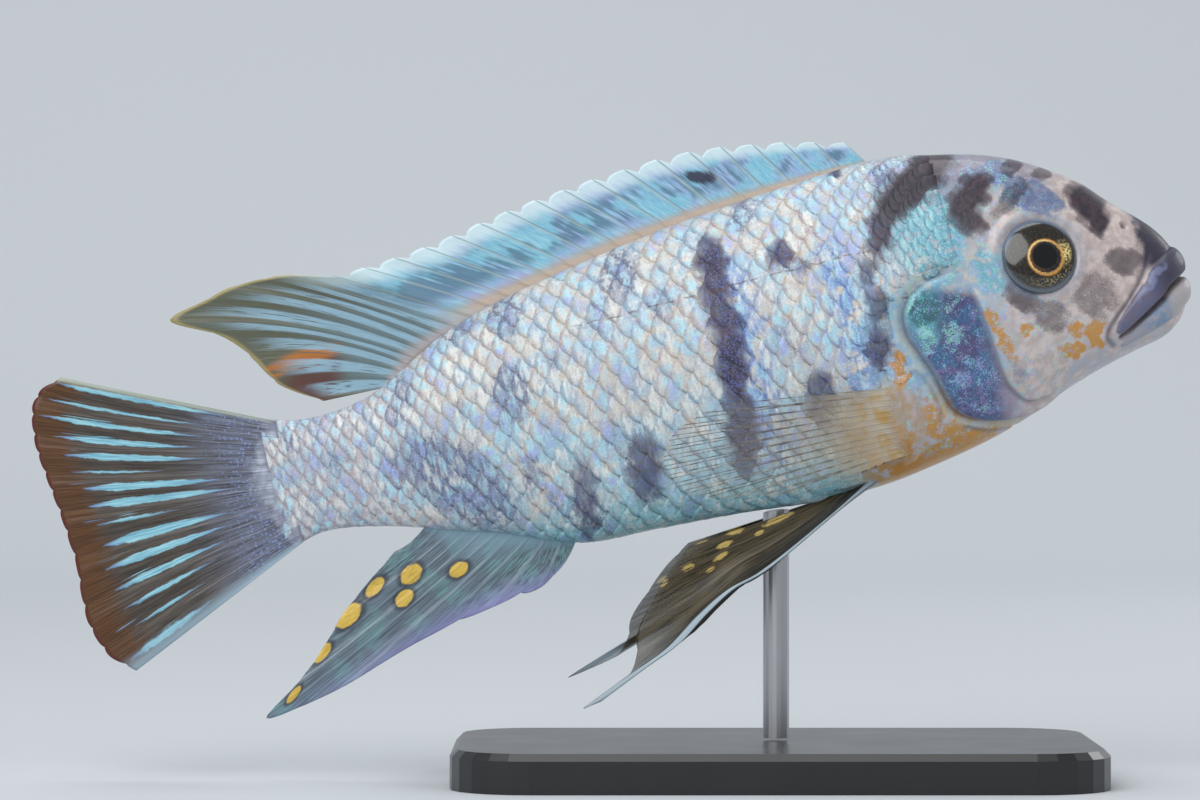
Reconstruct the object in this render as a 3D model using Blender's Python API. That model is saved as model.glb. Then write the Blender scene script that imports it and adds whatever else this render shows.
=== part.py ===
# Zebra mbuna, a still life-size model of an adult male, nose up on a plain display stand.
# Sizes are in millimetres in the fish's own frame: u runs forward from the root of the tail fin
# to the snout, 105 mm ahead, y is to the fish's left and v is up. The fish is then tilted nose up
# and set on its rod. World units are metres, +Z up, and z is 0 at the stand's underside.

import math

import bmesh
import bpy
from mathutils import Vector

MM = 0.001
GAP = 0.3                       # air between two touching pieces

# Pose and stand
NOSE_UP = math.radians(13)      # tilt of the body's axis
BASE_SIZE = (74, 44, 4.5)
BASE_CORNER = 9                 # radius of the base's corners in plan
BASE_BEVEL = 0.8
ROD_RADIUS = 1.5
ROD_AT = 54                     # u of the point on the belly that the rod carries
FIN_CLEARANCE = 2.5             # lowest fin tip above the base

# Body outline, as (u, v) or (u, size), tail to snout
BACK_LINE = [(-1.5, 7.5), (3, 6.3), (8, 6.4), (12.5, 7.5), (17, 9.9), (21.5, 12.2), (27.5, 14.2),
             (35, 15.8), (44, 17.5), (54, 18.9), (64, 19.9), (72, 20.5), (76, 20.4), (80, 19.7),
             (85, 18.6), (89, 17.1), (92.5, 15.1), (96.2, 12.5), (98.8, 9.8), (101.6, 7.4), (105.6, 5.4)]
BELLY_LINE = [(-1.5, -8.4), (2.5, -7.2), (7, -7.5), (13, -8.9), (18, -10.5), (23, -11.9),
              (28, -13.9), (32.5, -15.2), (40, -15.4), (50, -15.8), (60, -16.6), (67, -16.4),
              (74, -15.3), (80, -14), (85, -12.4), (89.5, -10.4), (94, -8.8), (99, -7.5), (105.6, -6.3)]
HALF_WIDTH = [(-1.5, 1.2), (3, 2), (8, 2.7), (14, 3.5), (22, 4.8), (32, 6.2), (44, 7.6), (56, 8.5),
              (68, 8.9), (78, 8.9), (85, 8.4), (91, 7.5), (97, 6.1), (105.6, 4.4)]
WIDEST_AT = [(-1.5, -0.4), (30, 0.4), (56, 1.2), (72, -0.2), (90, 0.2), (105.6, -1.2)]
UPPER_FULLNESS = [(-1.5, 2), (20, 1.9), (60, 1.85), (76, 2), (90, 2.35), (105.6, 2.3)]
LOWER_FULLNESS = [(-1.5, 2), (30, 2), (62, 2.25), (80, 2), (105.6, 2.2)]
SNOUT_CLOSES_AT = 100           # u from which the loft rounds off to its tip
SNOUT_TIP = (105.4, -1.1)
SNOUT_BLUNTNESS = 2.4
RING_SIDES = 32
TRUNK_RING_STEP = 2.6
HEAD_RING_STEP = 1.5
HEAD_RINGS_FROM = 68.3
SNOUT_RING_STEP = 0.25          # the least step, right at the snout
SNOUT_RING_SHARE = 0.3          # each step there, as a share of the length that is left

# Reach of the slabs that part the body, beyond it on every side
BEHIND, AHEAD = -9, 110
BELOW, ABOVE = -30, 30
ASIDE = 20

# Head
GILL_COVER = [(80.9, 3.4), (80.2, 4.6), (77.2, 5.3), (74, 4.4), (72.3, 2.2), (72.3, -0.4),
              (73.5, -3.4), (75, -7.2), (76.6, -9.9), (79, -11.1), (82.4, -11.2), (85.6, -10.3),
              (88.2, -8.9), (87.6, -8.3), (85.6, -8.6), (83.2, -8.2), (81.7, -6.6), (80.9, -3.4)]
GILL_COVER_STANDS = 0.45        # height of the cover's edge above the trunk
GILL_COVER_DEPTH = 1.5
GILL_COVER_FROM_MIDDLE = 2.4
JAW = [(108, 1), (105.2, -0.4), (102.2, -2.9), (99.4, -4.7), (96.4, -6.1), (92.8, -7.5), (90.4, -9),
       (89.6, -12.5), (97, -13), (108, -9)]
HEAD_REAR = [(77.5, 26), (76.2, 19), (74.2, 11), (72.6, 5.8), (71.5, 3), (71.4, -0.6), (72.6, -3.9),
             (74, -7.6), (75.5, -10.8), (79, -12.7), (83, -13.3), (88.6, -12.9), (89.4, -16)]
EYE_AT = (89.3, 5.4)
EYE_RADIUS = 4.35
EYE_HALF_DEPTH = 3.1
EYE_STANDS = 1.0                # bulge of the eye beyond the cheek
EYE_TURNS = (math.radians(10), math.radians(13))  # forward and upward
NOSTRIL_AT = (99.3, 6.3)
NOSTRIL_RADIUS = 0.5
UPPER_LIP = {"corner": (96.3, -5.2), "side": (101.5, -1.1), "front": 1.1,
             "stands": (0.35, 0.8), "half": (0.5, 1.5)}
LOWER_LIP = {"corner": (96.2, -6.2), "side": (102.8, -3.4), "front": -1.8,
             "stands": (0.3, 0.65), "half": (0.4, 1.25)}
LIP_STEPS = 6                   # along each side of the mouth, and round each half of its front
LIP_SIDES = 10
LIP_FILLS = 0.7                 # how soon the lip fills out from its corner, 1 for a sine

# Where the trunk ends and the tail stem starts
STEM_AT = 13.4

# Fins: each ray's root and tip, from curves through a few points numbered by ray
RAY_THICKNESS = 1.0             # of a ray, from one side's ridge to the other's
MEMBRANE = 0.5
FIN_TIP_THICKNESS = 0.45
FIN_ROOT_THICKNESS = 1.3
FIN_ROOT_SHARE = 0.16           # share of a ray's length over which the root thins out
DORSAL_SPINES = 18
DORSAL_RAYS = 27
DORSAL_ROOTS = [(0, 73.2), (17, 25.6), (26, 13.8)]
DORSAL_TIPS = [(0, 71.1, 23), (2, 64.3, 24.6), (5, 53.5, 26), (8, 42, 25.4), (11, 31.6, 24.1),
               (14, 21.4, 22.2), (17, 10.4, 21.4), (18, 5.6, 22.6), (20, -1.2, 22.7), (21, -4.8, 21.8),
               (22, -8.8, 20.5), (23, -3.4, 17.4), (24, -0.6, 14.2), (25, 1.7, 10.6), (26, 6.2, 7.6)]
DORSAL_BOW = 1.7                # upward bend of the soft rays
LAPPET_DROP = 1.1               # notch in the edge between two spines
LAPPET_SHARE = 0.7              # where the notch lies, from one spine to the next
SOFT_NOTCH = 0.2                # notch in the edge between two soft rays
ANAL_SPINES = 3
ANAL_RAYS = 11
ANAL_ROOT = (31, 14.6)
ANAL_TIPS = [(0, 27.8, -17.6), (1, 25.4, -18.9), (2, 19.2, -19.9), (3, 10.4, -21.8), (4, 0.4, -25),
             (5, -8.2, -26.4), (6, -3.6, -23), (7, 0, -19.8), (8, 2.8, -16.8), (9, 6.4, -13.9),
             (10, 10.4, -11)]
ANAL_BOW = -0.4
ANAL_NOTCH = 0.9                # between its spines
TAIL_FIN_RAYS = 16
TAIL_FIN_ROOT = (-1.8, 7.1, -8)     # u, then v of the top and bottom ray
TAIL_FIN_TIPS = [(0, -22.4, 17), (1, -24.9, 16.2), (2, -26.3, 14.7), (4, -27.1, 10.3), (8, -26, 1),
                 (10, -25.6, -4.6), (12, -25.8, -10.6), (14, -24.1, -15.5), (15, -21.6, -17.7)]
TAIL_FIN_FLARE = 0.8            # how far the outer rays bow away from the middle
PELVIC_RAYS = 6
PELVIC_ROOT = [(66.4, 3, 0.5), (61.6, 1.9, 1.1)]    # u, y and depth below the skin, outer and inner ray
PELVIC_TIPS = [(0, 49.4, 6.2, -24.2), (1, 27.5, 8.6, -32.8), (2, 32.4, 7.6, -28), (3, 36.4, 6.6, -23.4),
               (4, 39.8, 5.6, -20.2), (5, 43.4, 4.8, -17.8)]
PAIRED_FIN_BOW = 0.6            # outward bend of the pelvic and pectoral rays
LEFT_PELVIC_SWING = math.radians(5)     # the far fin is carried a little higher
PECTORAL_RAYS = 14
PECTORAL_ROOT = [(68.7, -5.8), (68.9, -13.4)]
PECTORAL_TIPS = [(0, 50.5, -2.9), (2, 45.2, -4.4), (5, 42.6, -7.4), (8, 43.4, -10.6), (11, 48.6, -13.4),
                 (13, 58.6, -14.6)]
PECTORAL_TIP_Y = 12.6
PECTORAL_LOBE_AT = (69.2, 7, -9.6)
PECTORAL_LOBE = (3.4, 2.1, 4.9)
PECTORAL_LOBE_LEANS = math.radians(21)  # in at its lower end, as the flank does

SMOOTH_TO = math.radians(30)    # edges of the stand sharper than this stay crisp

COLOURS = {
    "skin": (0.62, 0.70, 0.80), "gill_cover": (0.36, 0.47, 0.60), "lip": (0.42, 0.38, 0.52),
    "eye": (0.05, 0.05, 0.04), "fin": (0.45, 0.62, 0.70), "clear_fin": (0.66, 0.62, 0.52),
    "dark_fin": (0.10, 0.09, 0.09), "base": (0.04, 0.04, 0.045), "rod": (0.62, 0.62, 0.64),
}


def smooth(points, x):
    """Value at x of a smooth curve through (x, value) points, level beyond its ends."""
    if x <= points[0][0]:
        return points[0][1]
    if x >= points[-1][0]:
        return points[-1][1]

    def slope(i):
        before, after = points[max(i - 1, 0)], points[min(i + 1, len(points) - 1)]
        return (after[1] - before[1]) / (after[0] - before[0])

    i = next(k for k in range(len(points) - 1) if x <= points[k + 1][0])
    (x0, y0), (x1, y1) = points[i], points[i + 1]
    span = x1 - x0
    t = (x - x0) / span
    return (y0 * (1 + 2 * t) * (1 - t) ** 2 + y1 * t * t * (3 - 2 * t)
            + slope(i) * span * t * (1 - t) ** 2 - slope(i + 1) * span * t * t * (1 - t))


def smooth_point(rows, x):
    """Point at ray number x of a curve through rows of (ray number, coordinates)."""
    return Vector([smooth([(row[0], row[k]) for row in rows], x) for k in range(1, len(rows[0]))])


def material(slot):
    """The Principled material of a colour's name, made once."""
    found = bpy.data.materials.get(slot)
    if found:
        return found
    made = bpy.data.materials.new(slot)
    made.use_nodes = True
    shader = made.node_tree.nodes["Principled BSDF"]
    shader.inputs["Base Color"].default_value = (*COLOURS[slot], 1)
    shader.inputs["Roughness"].default_value = 0.3 if slot in ("eye", "rod") else 0.45
    shader.inputs["Metallic"].default_value = 1.0 if slot == "rod" else 0.0
    return made


def new_object(name, points, faces, slot="skin"):
    """An object from points in millimetres and faces that point out."""
    mesh = bpy.data.meshes.new(name)
    mesh.from_pydata([Vector(p) * MM for p in points], [], faces)
    mesh.materials.append(material(slot))
    mesh.shade_smooth()
    made = bpy.data.objects.new(name, mesh)
    bpy.context.scene.collection.objects.link(made)
    return made


def combine(target, other, operation):
    """Applies one Boolean to target and removes the other object."""
    modifier = target.modifiers.new("combine", "BOOLEAN")
    modifier.operation = operation
    modifier.object = other
    modifier.solver = "EXACT"
    bpy.context.view_layer.update()
    graph = bpy.context.evaluated_depsgraph_get()
    result = bpy.data.meshes.new_from_object(target.evaluated_get(graph))
    target.modifiers.clear()
    target.data = result
    bpy.data.objects.remove(other)
    return target


def keep_largest(target):
    """Leaves only the piece of the mesh with the most faces."""
    mesh = bmesh.new()
    mesh.from_mesh(target.data)
    bmesh.ops.remove_doubles(mesh, verts=mesh.verts, dist=1e-6)
    left = set(mesh.faces)
    pieces = []
    while left:
        piece, edge = set(), [left.pop()]
        while edge:
            face = edge.pop()
            piece.add(face)
            near = {f for e in face.edges for f in e.link_faces} & left
            left -= near
            edge.extend(near)
        pieces.append(piece)
    largest = max(pieces, key=len)
    bmesh.ops.delete(mesh, geom=[f for f in mesh.faces if f not in largest], context="FACES")
    mesh.to_mesh(target.data)
    mesh.free()
    return target


def section(u, grow=0.0):
    """Top, bottom, half width, widest height and two fullnesses of the body at u."""
    top, bottom = smooth(BACK_LINE, u), smooth(BELLY_LINE, u)
    wide, middle = smooth(HALF_WIDTH, u), smooth(WIDEST_AT, u)
    share = max(0.0, min(1.0, (u - SNOUT_CLOSES_AT) / (SNOUT_TIP[0] - SNOUT_CLOSES_AT)))
    left = (1 - share ** SNOUT_BLUNTNESS) ** (1 / SNOUT_BLUNTNESS)
    top = SNOUT_TIP[1] + (top - SNOUT_TIP[1]) * left + grow
    bottom = SNOUT_TIP[1] + (bottom - SNOUT_TIP[1]) * left - grow
    middle = SNOUT_TIP[1] + (middle - SNOUT_TIP[1]) * left
    wide = max(wide * left + grow, 0.05)
    return top, bottom, wide, middle, smooth(UPPER_FULLNESS, u), smooth(LOWER_FULLNESS, u)


def body_point(u, angle, grow=0.0):
    """Point on the skin at u, with angle 0 at the back and half a turn at the belly."""
    top, bottom, wide, middle, upper, lower = section(u, grow)
    side, height = math.sin(angle), math.cos(angle)
    full = upper if height > 0 else lower
    reach = top - middle if height > 0 else middle - bottom
    y = math.copysign(abs(side) ** (2 / full), side) * wide
    v = middle + math.copysign(abs(height) ** (2 / full), height) * reach
    return Vector((u, y, v))


def half_width_at(u, v):
    """Half width of the body at u and height v."""
    top, bottom, wide, middle, upper, lower = section(u)
    full, reach = (upper, top - middle) if v > middle else (lower, middle - bottom)
    share = min(1.0, abs(v - middle) / reach)
    return wide * (1 - share ** full) ** (1 / full)


def belly_at(u, y):
    """Height of the body's underside at u and y."""
    top, bottom, wide, middle, upper, lower = section(u)
    return middle - (middle - bottom) * (1 - (y / wide) ** lower) ** (1 / lower)


def ring_places(first, last):
    """Values of u for the rings, closer together on the head and closer still at the snout."""
    places, u = [], first
    while u < last - 2 * SNOUT_RING_STEP:
        places.append(u)
        step = TRUNK_RING_STEP if u < HEAD_RINGS_FROM else HEAD_RING_STEP
        u += min(step, max(SNOUT_RING_STEP, (last - u) * SNOUT_RING_SHARE))
    return places


def body_loft(name, grow=0.0):
    """The whole body as one closed loft, with its surface moved out by grow."""
    first, last = BACK_LINE[0][0] - grow, SNOUT_TIP[0] + grow
    points, faces = [], []
    places = ring_places(first, last)
    for u in places:
        inside = min(max(u, BACK_LINE[0][0]), SNOUT_TIP[0] - 0.05)
        for k in range(RING_SIDES):
            p = body_point(inside, math.tau * k / RING_SIDES, grow)
            points.append((u, p.y, p.z))
    for ring in range(len(places) - 1):
        for k in range(RING_SIDES):
            a, b = ring * RING_SIDES + k, ring * RING_SIDES + (k + 1) % RING_SIDES
            faces.append((a, a + RING_SIDES, b + RING_SIDES, b))
    tail, snout = len(points), len(points) + 1
    points += [(first, 0, smooth(WIDEST_AT, first)), (last, 0, SNOUT_TIP[1])]
    final = (len(places) - 1) * RING_SIDES
    for k in range(RING_SIDES):
        after = (k + 1) % RING_SIDES
        faces += [(tail, k, after), (snout, final + after, final + k)]
    return new_object(name, points, faces)


def prism(name, outline, low=-ASIDE, high=ASIDE, grow=0.0):
    """A slab with an outline in (u, v), from y low to y high, with its outline moved out by grow."""
    count = len(outline)
    area = sum(outline[i - 1][0] * outline[i][1] - outline[i][0] * outline[i - 1][1] for i in range(count))
    turn = 1 if area > 0 else -1
    moved = []
    for i, (u, v) in enumerate(outline):
        before, after = Vector(outline[i - 1]), Vector(outline[(i + 1) % count])
        here = Vector((u, v))
        first, second = (here - before).normalized(), (after - here).normalized()
        out = Vector((first.y + second.y, -first.x - second.x)).normalized() * turn
        sharp = max(0.35, math.sqrt(max(0.0, (1 + first.dot(second)) / 2)))
        moved.append(here + out * grow / sharp)
    if turn < 0:
        moved.reverse()
    points = [(p.x, low, p.y) for p in moved] + [(p.x, high, p.y) for p in moved]
    faces = [tuple(range(count)), tuple(range(2 * count - 1, count - 1, -1))]
    faces += [(i, i + count, (i + 1) % count + count, (i + 1) % count) for i in range(count)]
    return new_object(name, points, faces)


def ellipsoid(name, centre, radii, turns=(0, 0), slot="skin", rings=12, sides=20):
    """A closed ellipsoid whose short axis is y, turned about v and then about u."""
    points, faces = [], []
    for ring in range(1, rings):
        tilt = math.pi * ring / rings
        for k in range(sides):
            turn = math.tau * k / sides
            points.append(Vector((radii[0] * math.sin(tilt) * math.cos(turn), radii[1] * math.cos(tilt),
                                  radii[2] * math.sin(tilt) * math.sin(turn))))
    points += [Vector((0, radii[1], 0)), Vector((0, -radii[1], 0))]
    for ring in range(rings - 2):
        for k in range(sides):
            a, b = ring * sides + k, ring * sides + (k + 1) % sides
            faces.append((a, b, b + sides, a + sides))
    north, south, last = len(points) - 2, len(points) - 1, (rings - 2) * sides
    for k in range(sides):
        after = (k + 1) % sides
        faces += [(north, after, k), (south, last + k, last + after)]
    about_v, about_u = turns
    placed = []
    for p in points:
        p = Vector((p.x * math.cos(about_v) - p.y * math.sin(about_v),
                    p.x * math.sin(about_v) + p.y * math.cos(about_v), p.z))
        p = Vector((p.x, p.y * math.cos(about_u) - p.z * math.sin(about_u),
                    p.y * math.sin(about_u) + p.z * math.cos(about_u)))
        placed.append(p + Vector(centre))
    return new_object(name, placed, faces, slot)


def front_at(y, v):
    """u of the foremost point of the skin at y and v."""
    low, high = SNOUT_CLOSES_AT, SNOUT_TIP[0]
    for _ in range(30):
        middle = (low + high) / 2
        top, bottom = section(middle)[:2]
        inside = bottom < v < top and half_width_at(middle, v) > abs(y)
        low, high = (middle, high) if inside else (low, middle)
    return low


def lip_path(shape):
    """Points on the skin from the mouth's right corner, round its front, to the left corner."""
    corner, turn = Vector(shape["corner"]), Vector(shape["side"])
    half = []
    for k in range(LIP_STEPS):
        u, v = corner.lerp(turn, k / LIP_STEPS)
        half.append(Vector((u, half_width_at(u, v), v)))
    wide = half_width_at(*turn)
    for k in range(LIP_STEPS):
        angle = math.pi / 2 * (1 - k / LIP_STEPS)
        y, v = wide * math.sin(angle), shape["front"] + (turn.y - shape["front"]) * (1 - math.cos(angle))
        half.append(Vector((turn.x if k == 0 else front_at(y, v), y, v)))
    middle = Vector((front_at(0, shape["front"]), 0, shape["front"]))
    return [Vector((p.x, -p.y, p.z)) for p in half] + [middle] + half[::-1]


def lip(name, shape):
    """A lip: a tube of oval section along the skin, thickest in front."""
    path = lip_path(shape)
    points, faces, last = [], [], len(path) - 1
    for i, centre in enumerate(path):
        along = (path[min(i + 1, last)] - path[max(i - 1, 0)]).normalized()
        outward = along.cross(Vector((0, 0, 1))).normalized()
        upward = outward.cross(along)
        full = math.sin(math.pi * i / last) ** LIP_FILLS
        stands = shape["stands"][0] + (shape["stands"][1] - shape["stands"][0]) * full
        tall = shape["half"][0] + (shape["half"][1] - shape["half"][0]) * full
        for k in range(LIP_SIDES):
            angle = math.tau * k / LIP_SIDES
            points.append(centre + outward * stands * math.cos(angle) + upward * tall * math.sin(angle))
    for i in range(last):
        for k in range(LIP_SIDES):
            a, b = i * LIP_SIDES + k, i * LIP_SIDES + (k + 1) % LIP_SIDES
            faces.append((a, a + LIP_SIDES, b + LIP_SIDES, b))
    faces += [tuple(range(LIP_SIDES)),
              tuple(reversed(range(last * LIP_SIDES, (last + 1) * LIP_SIDES)))]
    return new_object(name, points, faces, "lip")


def eye_centre(side, stands):
    """Centre of the eye on side -1 or 1, bulging by stands beyond the cheek."""
    return Vector((EYE_AT[0], side * (half_width_at(*EYE_AT) + stands - EYE_HALF_DEPTH), EYE_AT[1]))


def front_slab(grow=0.0):
    """A slab over all that lies ahead of the gill openings."""
    return prism("front", [(AHEAD, ABOVE), (AHEAD, BELOW)] + HEAD_REAR[::-1], grow=grow)


def rear_slab(edge):
    """A slab over all that lies behind u = edge."""
    return prism("rear", [(edge, ABOVE), (BEHIND, ABOVE), (BEHIND, BELOW), (edge, BELOW)])


def gill_slab(name, side, grow=0.0):
    """A slab with the gill cover's outline, on one side of the fish."""
    near, far = sorted((side * (GILL_COVER_FROM_MIDDLE - grow), side * ASIDE))
    return prism(name, GILL_COVER, near, far, grow)


def make_head():
    """The head behind the mouth line, with pockets for the gill covers, the jaw and the eyes."""
    head = body_loft("head")
    combine(head, lip("upper_lip", UPPER_LIP), "UNION")
    combine(head, front_slab(), "INTERSECT")
    combine(head, prism("mouth", JAW, grow=GAP), "DIFFERENCE")
    u, v = NOSTRIL_AT
    for side in (-1, 1):
        pocket = gill_slab("pocket", side, GAP)
        combine(pocket, body_loft("core", -GILL_COVER_DEPTH - GAP), "DIFFERENCE")
        combine(head, pocket, "DIFFERENCE")
        socket = tuple(r + GAP for r in (EYE_RADIUS, EYE_HALF_DEPTH, EYE_RADIUS))
        turns = (-side * EYE_TURNS[0], side * EYE_TURNS[1])
        combine(head, ellipsoid("socket", eye_centre(side, EYE_STANDS), socket, turns), "DIFFERENCE")
        nostril = (u, side * half_width_at(u, v), v)
        combine(head, ellipsoid("nostril", nostril, (NOSTRIL_RADIUS,) * 3, rings=6, sides=8), "DIFFERENCE")
    return keep_largest(head)


def make_jaw():
    """The lower jaw with its lip, below the mouth line."""
    jaw = body_loft("jaw")
    combine(jaw, lip("lower_lip", LOWER_LIP), "UNION")
    combine(jaw, prism("below_mouth", JAW), "INTERSECT")
    return keep_largest(jaw)


def make_gill_cover(side, name):
    """The bony plates over one gill chamber, as one plate whose edge stands above the trunk."""
    cover = body_loft(name, GILL_COVER_STANDS)
    cover.data.materials[0] = material("gill_cover")
    combine(cover, gill_slab("plate", side), "INTERSECT")
    combine(cover, body_loft("core", -GILL_COVER_DEPTH), "DIFFERENCE")
    return keep_largest(cover)


def make_trunk():
    """The body from the gill opening to the tail stem, with a fleshy base for each pectoral fin."""
    trunk = body_loft("trunk")
    u, y, v = PECTORAL_LOBE_AT
    for side in (-1, 1):
        lobe = ellipsoid("lobe", (u, side * y, v), PECTORAL_LOBE, (0, -side * PECTORAL_LOBE_LEANS))
        combine(lobe, rear_slab(u), "DIFFERENCE")
        combine(trunk, lobe, "UNION")
    combine(trunk, front_slab(GAP), "DIFFERENCE")
    return keep_largest(combine(trunk, rear_slab(STEM_AT), "DIFFERENCE"))


def make_tail_stem():
    """The narrow stem between the trunk and the tail fin."""
    return keep_largest(combine(body_loft("tail_stem"), rear_slab(STEM_AT - GAP), "INTERSECT"))


def soft_notch(c):
    """Depth of the notch in a fin's edge between two soft rays, wherever it lies."""
    return SOFT_NOTCH


def fin(name, ray_count, root, tip, bow, rows, slot, side=1, notch=soft_notch, notch_share=0.5):
    """A thin fin whose rays stand as ridges on both faces of its membrane.

    root, tip and bow give each ray's ends and bend, in (u, y, v), by its number. Between two rays
    one fold of membrane, notch_share of the way across, ends short of them by notch.
    """
    folds = [c + notch_share for c in range(ray_count - 1)]
    columns = sorted([float(c) for c in range(ray_count)] + folds)
    width, count = rows + 1, len(columns)
    mid = []
    for c in columns:
        start, end = root(c), tip(c)
        if c in folds:
            end += (start - end).normalized() * notch(c)
        mid += [start.lerp(end, r / rows) + bow(c) * 4 * (r / rows) * (1 - r / rows) for r in range(width)]

    def normal(i, r):
        along = mid[i * width + min(r + 1, rows)] - mid[i * width + max(r - 1, 0)]
        across = mid[min(i + 1, count - 1) * width + r] - mid[max(i - 1, 0) * width + r]
        return along.cross(across).normalized() * side

    def thickness(c, r):
        t = r / rows
        thin = MEMBRANE if c in folds else RAY_THICKNESS + (MEMBRANE - RAY_THICKNESS) * t
        flesh = max(0.0, 1 - t / FIN_ROOT_SHARE)
        return FIN_TIP_THICKNESS if r == rows else thin + (FIN_ROOT_THICKNESS - thin) * flesh

    shifts = [normal(i, r) * thickness(c, r) / 2 for i, c in enumerate(columns) for r in range(width)]
    front = [p + shift for p, shift in zip(mid, shifts)]
    back = [p - shift for p, shift in zip(mid, shifts)]
    other, faces = len(front), []
    for i in range(count - 1):
        for r in range(rows):
            a, b = i * width + r, (i + 1) * width + r
            if columns[i] in folds:
                near = [(a, b, b + 1), (a, b + 1, a + 1)]
            else:
                near = [(a, b, a + 1), (b, b + 1, a + 1)]
            faces += near + [(other + z, other + y, other + x) for x, y, z in near]
    rim = [i * width for i in range(count)] + [(count - 1) * width + r for r in range(1, width)]
    rim += [i * width + rows for i in range(count - 2, -1, -1)] + [r for r in range(rows - 1, 0, -1)]
    for a, b in zip(rim, rim[1:] + rim[:1]):
        faces += [(a, other + a, other + b), (a, other + b, b)]
    made = new_object(name, front + back, faces, slot)
    mesh = bmesh.new()
    mesh.from_mesh(made.data)
    bmesh.ops.recalc_face_normals(mesh, faces=mesh.faces)
    mesh.to_mesh(made.data)
    mesh.free()
    return made


def edge_of_back(u):
    """Point just above the back, where the dorsal fin's root lies."""
    return Vector((u, 0, smooth(BACK_LINE, u) + GAP))


def edge_of_belly(u):
    """Point just below the belly, where the anal fin's root lies."""
    return Vector((u, 0, smooth(BELLY_LINE, u) - GAP))


def flat_tip(rows, ray, y=0.0):
    """A tip in the fish's middle plane."""
    u, v = smooth_point(rows, ray)
    return Vector((u, y, v))


def make_dorsal_fin():
    """Spines in front and longer soft rays behind, leaning back over the tail stem."""
    def bow(c):
        soft = max(0.0, (c - DORSAL_SPINES) / (DORSAL_RAYS - 1 - DORSAL_SPINES))
        return Vector((0, 0, DORSAL_BOW * math.sin(math.pi * soft)))

    def notch(c):
        return LAPPET_DROP if c < DORSAL_SPINES - 1 else SOFT_NOTCH

    return fin("dorsal_fin", DORSAL_RAYS, lambda c: edge_of_back(smooth(DORSAL_ROOTS, c)),
               lambda c: flat_tip(DORSAL_TIPS, c), bow, rows=4, slot="fin",
               notch=notch, notch_share=LAPPET_SHARE)


def make_anal_fin():
    """Three short spines and eight soft rays drawn out to a trailing point."""
    def root(c):
        return edge_of_belly(ANAL_ROOT[0] + (ANAL_ROOT[1] - ANAL_ROOT[0]) * c / (ANAL_RAYS - 1))

    def notch(c):
        return ANAL_NOTCH if c < ANAL_SPINES else SOFT_NOTCH

    return fin("anal_fin", ANAL_RAYS, root, lambda c: flat_tip(ANAL_TIPS, c),
               lambda c: Vector((0, 0, ANAL_BOW)), rows=5, slot="fin", notch=notch)


def make_tail_fin():
    """The fan of the tail, with its outer rays bowed."""
    u, top, bottom = TAIL_FIN_ROOT

    def root(c):
        return Vector((u, 0, top + (bottom - top) * c / (TAIL_FIN_RAYS - 1)))

    def bow(c):
        return Vector((0, 0, TAIL_FIN_FLARE * (0.5 - c / (TAIL_FIN_RAYS - 1))))

    return fin("tail_fin", TAIL_FIN_RAYS, root, lambda c: flat_tip(TAIL_FIN_TIPS, c), bow,
               rows=5, slot="fin")


def make_pelvic_fin(side, name, swing):
    """A hanging fin with a long trailing filament on its outer ray."""
    def mirrored(p):
        return Vector((p.x, side * p.y, p.z))

    def on_belly(share):
        u, y, below = Vector(PELVIC_ROOT[0]).lerp(Vector(PELVIC_ROOT[1]), share)
        return Vector((u, y, belly_at(u, y) - below))

    def root(c):
        return mirrored(on_belly(c / (PELVIC_RAYS - 1)))

    def tip(c):
        start, turn = on_belly(0), swing * (1 - c / (PELVIC_RAYS - 1))
        away = smooth_point(PELVIC_TIPS, c) - start
        turned = Vector((away.x * math.cos(turn) + away.z * math.sin(turn), away.y,
                         -away.x * math.sin(turn) + away.z * math.cos(turn)))
        return mirrored(start + turned)

    return fin(name, PELVIC_RAYS, root, tip, lambda c: Vector((0, side * PAIRED_FIN_BOW, 0)),
               rows=7, slot="dark_fin", side=side)


def make_pectoral_fin(side, name):
    """A clear fan of fine rays that stands a little off the flank."""
    def root(c):
        share = c / (PECTORAL_RAYS - 1)
        u, v = Vector(PECTORAL_ROOT[0]).lerp(Vector(PECTORAL_ROOT[1]), share)
        return Vector((u, side * (half_width_at(u, v) + GAP + FIN_ROOT_THICKNESS / 2), v))

    def tip(c):
        return flat_tip(PECTORAL_TIPS, c, side * PECTORAL_TIP_Y)

    return fin(name, PECTORAL_RAYS, root, tip, lambda c: Vector((0, side * PAIRED_FIN_BOW, 0)),
               rows=4, slot="clear_fin", side=side)


def make_eye(side, name):
    """One eyeball, flattened across, turned a little forward and up."""
    turns = (-side * EYE_TURNS[0], side * EYE_TURNS[1])
    return ellipsoid(name, eye_centre(side, EYE_STANDS), (EYE_RADIUS, EYE_HALF_DEPTH, EYE_RADIUS), turns, "eye")


def rounded_plan(size, corner, steps=6):
    """Outline of a rectangle with round corners, anticlockwise."""
    outline = []
    for quarter in range(4):
        middle = Vector((size[0] / 2 - corner, size[1] / 2 - corner))
        middle.x *= 1 if quarter in (0, 3) else -1
        middle.y *= 1 if quarter in (0, 1) else -1
        for step in range(steps + 1):
            turn = math.pi / 2 * (quarter + step / steps)
            outline.append(middle + Vector((math.cos(turn), math.sin(turn))) * corner)
    return outline


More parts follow.
